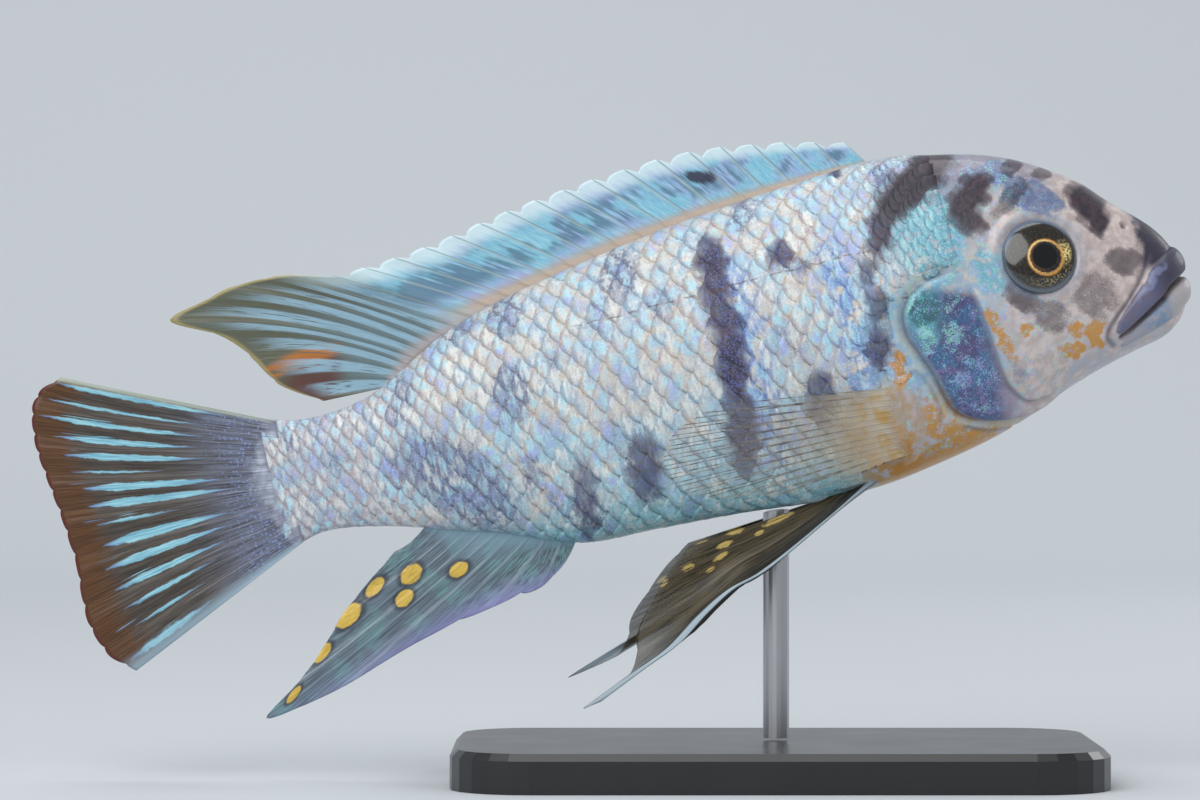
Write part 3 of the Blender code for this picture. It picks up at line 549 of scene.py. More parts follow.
def scale_roots(side, chance):
    """(u, angle, length, width, draw) of the scales on one side, from the nape to the tail."""
    found, u, column = [], SCALES_FROM, 0
    while u > SCALES_TO:
        pitch, step = float(row_pitch(u)), float(scale_step(u))
        for row in range(-ROWS_A_SIDE, ROWS_A_SIDE + 1):
            if (row + column) % 2:
                continue
            turn = turn_at(u, row * pitch)
            if turn is None:
                continue
            v = float(body_point(np.array(u), np.array(turn))[2])
            draws = chance.random(3)
            length, width = SCALE_LENGTH * step, SCALE_WIDTH * pitch
            if not bare(u, v, length):
                shift = (draws[0] - 0.5) * ROOT_SHIFT * step
                found.append((u + shift, side * turn, length, width, draws[2]))
        u -= step / 2
        column += 1
    return found


face_outline = np.concatenate([gill_edge - (0.2, 0), [(100, -9), (100, 3), (86, 6)]])
breast_outline = fine_line(BREAST_OUTLINE)
chance = np.random.default_rng(7)
roots = np.array(scale_roots(1, chance) + scale_roots(-1, chance))
print("scales:", len(roots))

# %% [markdown]
# ## One scale
# A scale is a thin plate with a rounded free edge, rooted under the scales ahead of it. This one
# has four steps along and six across, and a flat underside, so that a thousand of them stay
# light. It is one unit long and wide. Each root's size stretches it.

# %% The plate that is repeated
SCALE_ALONG, SCALE_ACROSS = 4, 6


def make_scale():
    """A unit scale: root at the origin, free edge at x = -1, with its height kept for later."""
    points, heights, edges = [], [], []
    for i in range(SCALE_ALONG + 1):
        t = (i / SCALE_ALONG) ** 0.8
        for k in range(SCALE_ACROSS + 1):
            s = k / SCALE_ACROSS * 2 - 1
            half = 0.42 + 0.09 * math.sin(math.pi * min(1, t * 0.8))
            points.append((-t * (1 - 0.3 * s * s), s * half, 0))
            heights.append(0.02 + 0.11 * t + 0.05 * (1 - s * s))
            edges.append(max(t ** 2, abs(s) ** 2.5 * 0.8))
    across, top = SCALE_ACROSS + 1, len(points)
    faces = [(i * across + k, i * across + k + 1, (i + 1) * across + k + 1, (i + 1) * across + k)
             for i in range(SCALE_ALONG) for k in range(SCALE_ACROSS)]
    rim = list(range(across)) + [i * across + across - 1 for i in range(1, SCALE_ALONG + 1)]
    rim += [SCALE_ALONG * across + k for k in range(across - 2, -1, -1)]
    rim += [i * across for i in range(SCALE_ALONG - 1, 0, -1)]
    below = {place: top + n for n, place in enumerate(rim)}
    for place in rim:
        points.append(points[place])
        heights.append(heights[place] - 0.08)
        edges.append(1.0)
    faces += [(a, below[a], below[b], b) for a, b in zip(rim, rim[1:] + rim[:1])]
    faces.append([below[place] for place in reversed(rim)])
    mesh = bpy.data.meshes.new("scale_plate")
    mesh.from_pydata(points, [], faces)
    mesh.shade_smooth()
    note(mesh, "height", heights)
    note(mesh, "rim", edges)
    note(mesh, "plate", points, "FLOAT_VECTOR")
    return placed("scale_plate", mesh)


scale_plate = make_scale()
print("one scale has", len(scale_plate.data.polygons), "faces")

# %% [markdown]
# ## The coat of scales
# Geometry Nodes set a copy of the plate on every root, turn it to the lie of the body, make the
# copies real and lay each point on the nearest skin, so that the scales bend with the body. The
# tree has named inputs, and its only draw, a small turn, has a fixed seed.

# %% Points for the roots
def make_roots():
    """A mesh of loose points that carry the lie, size and place of their scale."""
    u, turn, length, width, draw = roots.T
    points, normal = skin_surface(u, turn)
    ahead, _ = skin_surface(u + 0.2, turn)
    mesh = bpy.data.meshes.new("scale_roots")
    mesh.from_pydata(to_world(points).tolist(), [], [])
    note(mesh, "stands", turned(normal), "FLOAT_VECTOR")
    note(mesh, "lie", turned(ahead - points), "FLOAT_VECTOR")
    note(mesh, "size", np.stack([length, width, 0 * u], -1) * MM, "FLOAT_VECTOR")
    note(mesh, "root", np.stack([u, turn, draw], -1), "FLOAT_VECTOR")
    note(mesh, "long", length)
    v = points[:, 2]
    breast = soft_step(u - 0.5 * v, 68, 73) * (1 - soft_step(v, 0, 5))
    note(mesh, "lift", scale_lift(u) * (1 - 0.8 * breast))
    return placed("scale_roots", mesh)


scale_roots_made = make_roots()
print("root points:", len(scale_roots_made.data.vertices))

# %% [markdown]
# A tree can be drawn in the editor. In a script every node takes the same steps: add it, set it,
# link it. One small class takes these up.

# %% A node tree in a few calls
class Tree:
    """A Geometry Nodes tree whose nodes are added by type, settings and the values of sockets."""

    def __init__(self, name, inputs):
        self.made = bpy.data.node_groups.new(name, "GeometryNodeTree")
        for label, kind in inputs:
            self.made.interface.new_socket(label, in_out="INPUT", socket_type=kind)
        self.made.interface.new_socket("Coat", in_out="OUTPUT", socket_type="NodeSocketGeometry")
        self.given = self.made.nodes.new("NodeGroupInput").outputs

    def node(self, kind, settings=None, values=None, out=0):
        """Adds a node and gives back one of its outputs."""
        made = self.made.nodes.new(kind)
        for name, value in (settings or {}).items():
            setattr(made, name, value)
        for name, value in (values or {}).items():
            if isinstance(value, bpy.types.NodeSocket):
                self.made.links.new(value, made.inputs[name])
            else:
                made.inputs[name].default_value = value
        return made.outputs[out] if made.outputs else made

    def attribute(self, name, kind):
        """An attribute of the geometry, by its name."""
        return self.node("GeometryNodeInputNamedAttribute", {"data_type": kind}, {"Name": name})


def set_inputs(modifier, values):
    """Sets a modifier's inputs by their sockets' identifiers, which names are not."""
    for item in modifier.node_group.interface.items_tree:
        if item.in_out == "INPUT" and item.name in values:
            modifier[item.identifier] = values[item.name]


print("a tree's helper is ready")

# %% [markdown]
# Each copy stands up on the skin, turns to its row, then gets its own small turn. Its points are
# laid on the skin last, because only real copies have points to move.

# %% The tree of the scales
def scale_tree():
    """Plates on roots, turned to their lie, made real, laid on the skin and given their finish."""
    tree = Tree("scale coat", [("Roots", "NodeSocketGeometry"), ("Plate", "NodeSocketObject"),
                               ("Skin", "NodeSocketObject"), ("Finish", "NodeSocketMaterial"),
                               ("Height unit", "NodeSocketFloat"), ("Turn", "NodeSocketFloat"),
                               ("Seed", "NodeSocketInt")])
    given = tree.given
    plate = tree.node("GeometryNodeObjectInfo", values={"Object": given["Plate"]}, out="Geometry")
    skin_shape = tree.node("GeometryNodeObjectInfo", values={"Object": given["Skin"]}, out="Geometry")
    upright = tree.node("FunctionNodeAlignRotationToVector", {"axis": "Z"},
                        {"Vector": tree.attribute("stands", "FLOAT_VECTOR")})
    lying = tree.node("FunctionNodeAlignRotationToVector", {"axis": "X", "pivot_axis": "Z"},
                      {"Rotation": upright, "Vector": tree.attribute("lie", "FLOAT_VECTOR")})
    other_way = tree.node("ShaderNodeMath", {"operation": "MULTIPLY"}, {0: given["Turn"], 1: -1})
    draw = tree.node("FunctionNodeRandomValue", {"data_type": "FLOAT"},
                     {2: other_way, 3: given["Turn"], "Seed": given["Seed"]}, out=1)
    small_turn = tree.node("FunctionNodeAxisAngleToRotation", values={"Axis": (0, 0, 1), "Angle": draw})
    facing = tree.node("FunctionNodeRotateRotation", {"rotation_space": "LOCAL"},
                       {"Rotation": lying, "Rotate By": small_turn})
    copies = tree.node("GeometryNodeInstanceOnPoints", values={
        "Points": given["Roots"], "Instance": plate, "Rotation": facing,
        "Scale": tree.attribute("size", "FLOAT_VECTOR")})
    real = tree.node("GeometryNodeRealizeInstances", values={"Geometry": copies})
    nearest = tree.node("GeometryNodeProximity", {"target_element": "FACES"}, {"Geometry": skin_shape})
    outward = tree.node("GeometryNodeSampleNearestSurface", {"data_type": "FLOAT_VECTOR"},
                        {"Mesh": skin_shape, "Value": tree.attribute("outward", "FLOAT_VECTOR")})
    unit = tree.node("ShaderNodeVectorMath", {"operation": "NORMALIZE"}, {0: outward})
    height = tree.node("ShaderNodeMath", {"operation": "MULTIPLY"},
                       {0: tree.attribute("height", "FLOAT"), 1: tree.attribute("lift", "FLOAT")})
    high = tree.node("ShaderNodeMath", {"operation": "MULTIPLY"}, {0: height, 1: given["Height unit"]})
    lift = tree.node("ShaderNodeVectorMath", {"operation": "SCALE"}, {0: unit, "Scale": high})
    place = tree.node("ShaderNodeVectorMath", {"operation": "ADD"}, {0: nearest, 1: lift})
    laid = tree.node("GeometryNodeSetPosition", values={"Geometry": real, "Position": place})
    done = tree.node("GeometryNodeSetMaterial", values={"Geometry": laid, "Material": given["Finish"]})
    tree.node("NodeGroupOutput", values={"Coat": done})
    return tree.made


scale_nodes = scale_tree()
print("the scale tree has", len(scale_nodes.nodes), "nodes")

# %% [markdown]
# ## Shader maths as Python
# A material is a sum of masks. A Term wraps one socket, so that masks are added and multiplied
# as in any Python expression, and each expression leaves its Math nodes behind. A Finish is one
# material. Whatever is the same all over is set on the shader's own socket.

# %% Terms and finishes
class Term:
    """One output socket that takes part in arithmetic."""

    def __init__(self, finish, socket):
        self.finish, self.socket = finish, socket

    def __add__(self, other):
        return self.finish.maths("ADD", self, other)

    def __sub__(self, other):
        return self.finish.maths("SUBTRACT", self, other)

    def __rsub__(self, other):
        return self.finish.maths("SUBTRACT", other, self)

    def __mul__(self, other):
        return self.finish.maths("MULTIPLY", self, other)

    def __truediv__(self, other):
        return self.finish.maths("DIVIDE", self, other)

    __radd__, __rmul__ = __add__, __mul__

    def step(self, low, high):
        """0 below low and 1 above high, or the other way round where low is the greater."""
        turned_round = low > high
        limits = {"From Min": min(low, high), "From Max": max(low, high),
                  "To Min": float(turned_round), "To Max": float(not turned_round)}
        return self.finish.node("ShaderNodeMapRange", {"interpolation_type": "SMOOTHSTEP"},
                                {"Value": self, **limits})

    def bump_at(self, middle, width):
        """1 at the middle value, 0 a width away on both sides."""
        return self.finish.maths("ABSOLUTE", self - middle).step(width, 0)


class Finish:
    """A material in the making, on one Principled shader."""

    def __init__(self, name, fixed):
        self.made = bpy.data.materials.new(name)
        self.made.use_nodes = True
        self.tree = self.made.node_tree
        self.shader = self.tree.nodes["Principled BSDF"]
        for socket, value in fixed.items():
            self.feed(self.shader.inputs[socket], value)

    def feed(self, socket, value):
        """Links a Term to a socket, or sets its value."""
        if isinstance(value, Term):
            self.tree.links.new(value.socket, socket)
        elif isinstance(value, tuple) and len(value) == 3 and len(socket.default_value) == 4:
            socket.default_value = (*value, 1)
        else:
            socket.default_value = value

    def node(self, kind, settings=None, values=None, out=0):
        """Adds a node with its settings, then its sockets' values, and gives back an output."""
        made = self.tree.nodes.new(kind)
        for name, value in (settings or {}).items():
            setattr(made, name, value)
        for name, value in (values or {}).items():
            self.feed(made.inputs[name], value)
        return Term(self, made.outputs[out])

    def maths(self, operation, *values):
        return self.node("ShaderNodeMath", {"operation": operation}, dict(enumerate(values)))

    def mix(self, share, first, second):
        """The first colour where share is 0, the second where it is 1."""
        return self.node("ShaderNodeMix", {"data_type": "RGBA", "clamp_factor": True},
                         {0: share, 6: first, 7: second}, out=2)

    def painted(self, colour, *layers):
        """A colour under layers of (share, colour), each over the one before."""
        for share, layer in layers:
            colour = self.mix(share, colour, layer)
        return colour

    def attribute(self, name, out="Fac"):
        return self.node("ShaderNodeAttribute", {"attribute_name": name}, out=out)

    def split(self, vector):
        return [self.node("ShaderNodeSeparateXYZ", values={0: vector}, out=k) for k in range(3)]

    def noise(self, vector, scale, detail=2.0):
        return self.node("ShaderNodeTexNoise", values={"Vector": vector, "Scale": scale, "Detail": detail})

    def cells(self, vector, scale):
        """Distance to the middle of the nearest of many scattered cells."""
        return self.node("ShaderNodeTexVoronoi", values={"Vector": vector, "Scale": scale}, out="Distance")

    def flat(self, x, y):
        return self.node("ShaderNodeCombineXYZ", values={0: x, 1: y})

    def length(self, vector):
        return self.node("ShaderNodeVectorMath", {"operation": "LENGTH"}, {0: vector}, out=1)

    def chance(self, number):
        """A draw between 0 and 1 for each value of a whole number."""
        return self.node("ShaderNodeTexWhiteNoise", {"noise_dimensions": "1D"}, {"W": number})

    def fish_place(self):
        """(u, y, v) in the fish's own millimetres, from Object coordinates."""
        middle = (-(ORIGIN[0] * COS + ORIGIN[1] * SIN), 0, ORIGIN[0] * SIN - ORIGIN[1] * COS)
        world = self.node("ShaderNodeTexCoord", out="Object")
        return self.node("ShaderNodeMapping", values={
            "Vector": world, "Location": middle, "Rotation": (0, NOSE_UP, 0), "Scale": (1 / MM,) * 3})

    def bump(self, height, depth):
        """A bump of that depth in millimetres, fed to the shader."""
        self.paint("Normal", self.node("ShaderNodeBump", values={
            "Height": height, "Distance": depth * MM, "Strength": 1.0}))

    def paint(self, name, value):
        self.feed(self.shader.inputs[name], value)


print("finishes ready")

# %% [markdown]
# ## Markings
# This form of the cichlid is blotched: dark spots that line up in broken bars, slate clouds
# behind them, orange on the cheek and breast, and cyan on the nape. The glints on the gill cover
# and the highlight on the upper lip are painted, and laid out as spots as well.
# Each spot is an ellipse in side view, worked out for the points of skin and scales alike. A
# scale takes a fifth of its value from its own middle, so that a blotch's edge breaks a little.

# %% Spots: u, v, half length, half width, lean in degrees, strength
SPOTS = {
    "dark": [
        (77.4, 16.5, 6.6, 2.3, -149, 1), (72.6, 12.4, 3.6, 1.5, -110, 0.95),
        (81.5, 18.8, 0.9, 0.9, 0, 1), (83, 13.5, 3.6, 1.9, -141, 1), (82.3, 11.3, 2.4, 1.7, -54, 0.95),
        (88.8, 16, 1.2, 1.1, 0, 0.8), (91.8, 14.5, 1.3, 1, 0, 0.7), (87.8, 12.4, 3, 1.1, -144, 0.62),
        (96.2, 9.9, 2.9, 2.1, -66, 1), (96.7, 8.2, 2.4, 1.1, -84, 1), (102.5, 4.2, 3, 1.9, -85, 0.4),
        (98.8, 2.6, 2.3, 1.7, -20, 0.7), (94.4, -0.5, 2.7, 2.7, 0, 0.5),
        (88.9, -1.6, 2.1, 2.1, 0, 0.55), (86.2, 1.3, 2.5, 1.4, -50, 0.75),
        (53.2, 13.2, 2.7, 1.8, -93, 1), (52.9, 9.6, 3.9, 1.8, -97, 0.95),
        (53.1, 5.4, 3.6, 2, -89, 0.95), (52.7, 0.8, 4.1, 1.9, -98, 1), (52.2, -6, 5.6, 1.9, -95, 0.9),
        (60.8, 12.1, 1.6, 1.6, 0, 0.95), (63, 10.1, 1.3, 0.9, -103, 0.55),
        (69.9, 7.9, 2.2, 1.1, -103, 0.7), (70.1, 3.9, 2.4, 1.3, -108, 0.7),
        (68.9, -0.7, 2.7, 1.3, -101, 0.85), (61.6, -4.6, 3.3, 1.8, -103, 0.8),
        (77.4, 6.4, 1.8, 0.9, -20, 0.36), (40.6, -8.2, 4.1, 2.1, -100, 0.8),
        (33.2, -10, 5.2, 1.5, -98, 0.65), (68.9, 20.2, 1, 1, 0, 0.9)],
    "slate": [
        (90.2, 12.2, 3.6, 1.8, -35, 1), (86, 15.6, 3, 1.4, -10, 0.9), (86.5, 3.2, 2.4, 1.6, -70, 0.6),
        (74.1, 17.7, 2.1, 1.3, -110, 0.8), (57.8, 18, 2.6, 1.8, -103, 0.6),
        (42.7, 14.1, 3, 2.3, -103, 0.7), (46.2, 9.3, 2.5, 1.6, -103, 0.45),
        (39.6, 9.8, 2.4, 1.6, -103, 0.45), (28.9, 12.5, 3.2, 2.1, -103, 0.65),
        (23.2, 12.5, 2.1, 2.1, 0, 0.6), (33.4, 6.7, 1.9, 1.4, -103, 0.4),
        (27.6, 3.5, 3.5, 2.5, -103, 0.7), (15.6, 6.4, 1.4, 1.4, 0, 0.6), (14.1, 4, 1.6, 1.6, 0, 0.5),
        (21.7, 3.4, 0.8, 0.8, 0, 0.5), (19.5, -4.7, 8, 3.9, -47, 0.75),
        (27.8, -5.9, 2.4, 1.4, -103, 0.6), (1.5, 3.9, 1.4, 0.9, -82, 0.5),
        (-1.5, -4.6, 1.7, 1.1, -92, 0.5), (6.5, 0.4, 1, 1, 0, 0.5), (84.1, -7.2, 2, 0.8, -64, 0.4),
        (59.9, 2.4, 3.5, 1.8, -58, 0.35), (38.6, -4.5, 3.2, 2.1, -89, 0.35),
        (32.1, -11.2, 4.9, 2.3, -40, 0.45), (53.2, -6.6, 2.3, 1.1, -97, 0.4),
        (45, -13.6, 2.6, 1.8, -58, 0.3), (14.6, -3, 4.1, 2.3, -31, 0.55)],
    "orange": [
        (68.6, -10.6, 3.2, 1.1, -80, 0.6), (82.9, -2.4, 3.7, 0.8, -74, 0.58),
        (93.5, -4.9, 1.7, 1, -103, 0.8), (91.4, -3.8, 0.9, 0.9, 0, 0.6), (90.6, -6, 1.7, 0.8, -5, 0.7),
        (86, -2.6, 0.8, 0.8, 0, 0.7), (70.8, -3.6, 2.2, 0.8, -96, 0.9), (74.2, -14.4, 6.5, 1.6, 8, 0.9),
        (69.3, -11.5, 2.8, 1.4, -66, 0.6), (74.2, -12.1, 2.4, 1.1, -40, 0.5),
        (69, -16.9, 3.9, 0.9, -180, 0.7)],
    "cyan": [
        (77.4, 10.8, 6, 3.9, -84, 1), (83.2, 4.8, 3, 1.7, -76, 0.8), (87.7, 13.6, 2.9, 1.6, -76, 0.5),
        (70.4, 2.9, 3.8, 1.6, 38, 0.4), (74.5, 2, 3.6, 1.8, -85, 0.7)],
    # painted glints on the gill cover, and last a painted highlight along the upper lip
    "glint": [
        (74.7, -0.9, 2, 0.8, -75, 1), (78.2, 2.1, 1.5, 0.6, 10, 0.8), (77.7, -1, 1.3, 0.9, -60, 0.8),
        (79.1, -4.7, 1.6, 0.5, -40, 0.7), (80.4, -6.9, 1.7, 1.1, 0, 0.7),
        (77.4, -6.2, 1.4, 0.9, -60, 0.6), (78.8, -10.1, 2, 0.5, -10, 0.8),
        (83.8, -9.5, 1.5, 0.7, -20, 0.7), (86, 3.2, 1.6, 0.8, -50, 0.6),
        (73.2, -13.2, 2.4, 0.8, 12, 0.6), (73.5, 3.2, 2, 0.5, 70, 0.7), (101.2, -0.3, 2.6, 0.3, 41, 1)],
}
FAR_SIDE_SHIFT = 1.6            # the two sides of a blotched fish are never quite alike
print("spots:", {kind: len(spots) for kind, spots in SPOTS.items()})

# %% [markdown]
# Neither pigment nor a painted glint ends in a clean ellipse. A sum of three waves bends the
# outlines, and noise in the finishes breaks them up.

# %% The spots' fields
def ragged(u, v, turn):
    """A smooth wandering shift of about half a millimetre, the same at the same place."""
    return (0.22 * np.sin(1.25 * u + 1.9 * v + turn) + 0.15 * np.sin(2.9 * v - 2.3 * u + 2 * turn)
            + 0.1 * np.sin(5.3 * u + 4.1 * v + 3 * turn))


def spot_field(spots, u, v, chance=None):
    """Strongest share of any spot at u and v, with spots shifted a little if chance is given."""
    field = np.zeros(np.shape(u))
    for spot_u, spot_v, long, wide, lean, strength in spots:
        if chance is not None:
            move = chance.normal(0, FAR_SIDE_SHIFT * (0.4 if spot_u > 84 else 1), 2)
            spot_u, spot_v = spot_u + move[0], spot_v + move[1]
        c, s = math.cos(math.radians(lean)), math.sin(math.radians(lean))
        du, dv = u - spot_u, v - spot_v
        away = np.hypot((du * c + dv * s) / long, (dv * c - du * s) / wide)
        field = np.maximum(field, strength * (1 - soft_step(away, 0.65, 1.35)))
    return field


def note_spots(mesh, points):
    """Notes every kind of spot on a mesh whose points count as lying at these (u, y, v)."""
    u, y, v = np.moveaxis(points, -1, 0)
    u, v = u + ragged(u, v, 0.4), v + ragged(u, v, 2.1)
    far = soft_step(y, -1, 1)
    for number, (kind, spots) in enumerate(SPOTS.items()):
        near_field = spot_field(spots, u, v)
        far_field = spot_field(spots, u, v, np.random.default_rng(20 + number))
        note(mesh, kind, near_field * (1 - far) + far_field * far)


def fish_points(mesh):
    """The (u, y, v) of a mesh's points."""
    flat = np.empty(len(mesh.vertices) * 3, np.float32)
    mesh.vertices.foreach_get("co", flat)
    x, y, z = flat.reshape(-1, 3).T / MM
    x, z = x - ORIGIN[0], z - ORIGIN[1]
    return np.stack([x * COS + z * SIN, y, z * COS - x * SIN], -1)


note_spots(skin.data, fish_points(skin.data))
print("the skin carries:", sorted(SPOTS))

# %% [markdown]
# ## Skin and scale finishes
# Both finishes start from the same ground: cream and pale blue on the flank, teal on the belly,
# purple grey on the snout, with the spots over it. The scales add a painted highlight, a bright
# oval that glints pale blue or violet, and a warmer, duller edge.

# %% The ground that skin and scales share
DARK, SLATE = (0.028, 0.022, 0.034), (0.10, 0.14, 0.29)
ORANGE, CYAN = (0.56, 0.25, 0.02), (0.14, 0.40, 0.50)
CREAM, PEARL, BELLY = (0.62, 0.55, 0.48), (0.33, 0.51, 0.66), (0.17, 0.49, 0.55)


def ground(finish, place):
    """The colour under the spots, for a place in the fish's millimetres."""
    u, _, v = finish.split(place)
    broad, fine = finish.noise(place, 0.2, 3), finish.noise(place, 0.9, 3)
    mottled = finish.noise(place, 0.42, 4)
    low_flank = v.step(3, -8) * u.step(0, 30) * (broad + fine * 0.4).step(0.5, 0.8)
    rows = (u + mottled * 5).bump_at(57.5, 3.4) + (u + mottled * 5).bump_at(69, 3.4)
    shoulder = u.step(60, 70) * v.step(10, 3) * fine.step(0.36, 0.6)
    nape = u.step(66, 76) * v.step(5, 11)
    face = u.step(80, 86)
    gill = finish.attribute("gill")
    breast = u.step(60, 68) * v.step(-5, -9) * (1 - gill)
    lobe = finish.length(finish.flat((u - LOBE_AT[0]) / LOBE_SIZE[0], (v - LOBE_AT[1]) / LOBE_SIZE[1]))
    return finish.painted(
        CREAM,
        (mottled.step(0.42, 0.62) * 0.85, PEARL),
        (fine.step(0.5, 0.68) * u.step(72, 66) * 0.45, (0.38, 0.30, 0.42)),
        (low_flank * 0.7, (0.25, 0.49, 0.62)),
        (rows * fine.step(0.36, 0.52) * v.step(15, 11) * 0.9, (0.13, 0.26, 0.62)),
        (shoulder * 0.7, (0.20, 0.36, 0.58)),
        (v.step(-9, -14) * 0.75, BELLY),
        (u.step(26, 2) * 0.7, finish.mix(fine.step(0.4, 0.6), (0.24, 0.27, 0.40), (0.50, 0.44, 0.48))),
        (breast * 0.9, finish.mix((fine + mottled * 0.5).step(0.62, 0.78),
                                  (0.52, 0.46, 0.50), (0.58, 0.27, 0.018))),
        (lobe.step(1.2, 0.7) * 0.9, finish.mix(fine.step(0.42, 0.6),
                                               (0.44, 0.31, 0.19), (0.50, 0.42, 0.42))),
        (nape * 0.9, finish.mix(fine.step(0.38, 0.62), (0.40, 0.35, 0.42), (0.30, 0.46, 0.56))),
        (gill, finish.painted((0.085, 0.075, 0.19), (mottled.step(0.4, 0.6), (0.055, 0.13, 0.27)),
                              (fine.step(0.5, 0.66) * 0.8, (0.19, 0.15, 0.33)),
                              (finish.noise(place, 2.6, 4).step(0.5, 0.6) * 0.55, (0.045, 0.05, 0.13)),
                              (v.step(-3, 2) * u.step(78.5, 75) * 0.7, (0.08, 0.26, 0.27)),
                              (u.step(80, 84) * v.step(-7, -9.5) * 0.8, (0.31, 0.28, 0.44)))),
        (face, finish.mix(fine.step(0.38, 0.62), (0.49, 0.40, 0.38), (0.63, 0.54, 0.52))),
        (v.step(-3, -8) * u.step(86, 92) * mottled.step(0.36, 0.56) * 0.8, (0.40, 0.42, 0.50)),
        (v.step(12, 16.5) * u.step(76, 82) * u.step(96, 91) * 0.75, (0.22, 0.20, 0.29)),
        ((u + fine * 3).step(101.6, 103.2) * v.step(0.2, 1.8), (0.05, 0.05, 0.075)))


def spotted(finish, colour, place):
    """A ground colour with every kind of spot laid over it, and the share of dark."""
    patchy, grain = finish.noise(place, 1.3, 3), finish.noise(place, 7, 3) - 0.5
    field = finish.attribute("dark")
    dark = (field + grain * 1.1 + (patchy - 0.5) * 0.4).step(0.12, 0.5)
    dark = dark * (field * 0.8 + 0.2) * field.step(0, 0.1)
    slate, orange = finish.attribute("slate"), finish.attribute("orange")
    colour = finish.painted(
        colour,
        (finish.attribute("cyan") * patchy.step(0.36, 0.52), CYAN),
        ((slate + grain + patchy - 0.5).step(0.1, 0.75) * slate.step(0.02, 0.2) * 0.9,
         finish.mix(patchy.step(0.4, 0.65), SLATE, (0.19, 0.22, 0.32))),
        ((orange + grain + patchy * 1.3 - 0.65).step(0.2, 0.62) * orange.step(0.05, 0.2) * 0.92, ORANGE),
        (dark * 0.97, finish.mix(patchy.step(0.4, 0.65), DARK, (0.06, 0.034, 0.05))))
    return colour, dark


print("cream:", CREAM, "pearl:", PEARL)

# %% [markdown]
# The face is wet skin with clusters of blue and green glints, painted into its colour. Numbers
# noted on the mesh tell the finish where lips, folds and gill cover are, so that colour and form
# agree, which a painted picture could miss. The folds and the mouth get painted shade.

# %% The bare skin
GILL_CORNER = (74.9, 2.2)       # a dark teal patch lies here, at the gill cover's upper corner
print("the gill cover's corner:", GILL_CORNER)


def skin_finish():
    """Wet skin of the head, with its lips, painted shade in its folds and mouth, painted glints, and of
    what shows between scales.
    """
    finish = Finish("wet_skin", {"Coat Roughness": 0.12, "IOR": 1.4})
    place = finish.fish_place()
    u, _, v = finish.split(place)
    fine, cluster = finish.noise(place, 1.1, 4), finish.noise(place, 0.7, 2)
    flecks, hue = finish.noise(place, 5.5, 3), finish.noise(place, 1.9, 2)
    gill, lit = finish.attribute("gill"), finish.attribute("glint")
    shining = u.step(66, 72) * u.step(98, 87) * v.step(-17, -12)
    wanted = flecks + finish.attribute("cyan") * 0.07 + lit * 0.17 + (cluster + fine - 1) * 0.45 - 0.01
    colour, dark = spotted(finish, ground(finish, place), place)
    glint = wanted.step(0.52, 0.7) * shining * (1 - dark)
    tint = finish.painted((0.20, 0.52, 0.74), (hue.step(0.5, 0.6), (0.24, 0.70, 0.54)),
                          (hue.step(0.46, 0.38), (0.33, 0.32, 0.78)),
                          (gill * v.step(-1, -6) * 0.5, (0.24, 0.30, 0.72)),
                          (lit * v.step(-3, 0) * 0.7, (0.36, 0.78, 0.52)),
                          (wanted.step(0.68, 0.8) * 0.7, (0.46, 0.86, 0.82)))
    from_corner = finish.length(finish.flat(u - GILL_CORNER[0], v - GILL_CORNER[1]))
    lips = finish.attribute("lips")
    upper_lip = finish.painted((0.14, 0.125, 0.19), (fine.step(0.42, 0.6) * 0.6, (0.10, 0.12, 0.24)),
                               ((u + v * 0.5).step(99, 103.5), (0.06, 0.056, 0.09)),
                               ((u + fine * 3).step(98.6, 96.6) * 0.6, (0.40, 0.42, 0.45)))
    lower_lip = finish.painted((0.33, 0.33, 0.38),
                               (u.step(98, 101) * u.step(104, 102) * fine.step(0.34, 0.6) * 0.7,
                                (0.13, 0.25, 0.42)),
                               ((u + fine * 2).step(103, 105), (0.44, 0.41, 0.42)))
    finish.paint("Base Color", finish.painted(
        colour,
        (gill * (from_corner + (fine - 0.5) * 2.4).step(2.2, 1) * 0.75, (0.03, 0.09, 0.10)),
        # painted glints of blue, green and violet, in clusters over gill cover, cheek and nape
        (glint * (0.75 - gill * 0.15), tint),
        (lips.step(0.1, 0.8), upper_lip),
        (lips.step(-0.1, -0.8), lower_lip),
        # a painted blue highlight along the upper part of the upper lip
        (lips.step(0.1, 0.8) * lit * (flecks * 0.5 + 0.3), (0.24, 0.27, 0.46)),
        # pale painted glints along the rear edge of the gill cover
        (finish.attribute("gill_rim") * fine.step(0.3, 0.5) * 0.7, (0.46, 0.52, 0.48)),
        (finish.attribute("eye_rim") * 0.45, (0.24, 0.30, 0.40)),
        # painted shade in the folds and grooves: lip fold, nostril, throat, shoulder, and the edges of gill
        # cover and cheek plate
        (finish.attribute("crease_shade") * 0.7, (0.06, 0.05, 0.09)),
        # painted shade, nearly black, in the slit of the mouth between the lips
        (finish.attribute("mouth"), (0.045, 0.03, 0.04))))
    snout = u.step(100, 102)
    finish.paint("Roughness", 0.34 + snout * 0.16)
    finish.paint("Coat Weight", 0.45 - snout * 0.3)
    pores = finish.cells(place, 1.1).step(0.16, 0.06) * u.step(84, 88) * fine.step(0.4, 0.5)
    finish.bump(flecks * 0.8 + finish.cells(place, 1.5) * shining * (1 - gill * 0.6) - pores * 0.8, 0.06)
    return finish.made
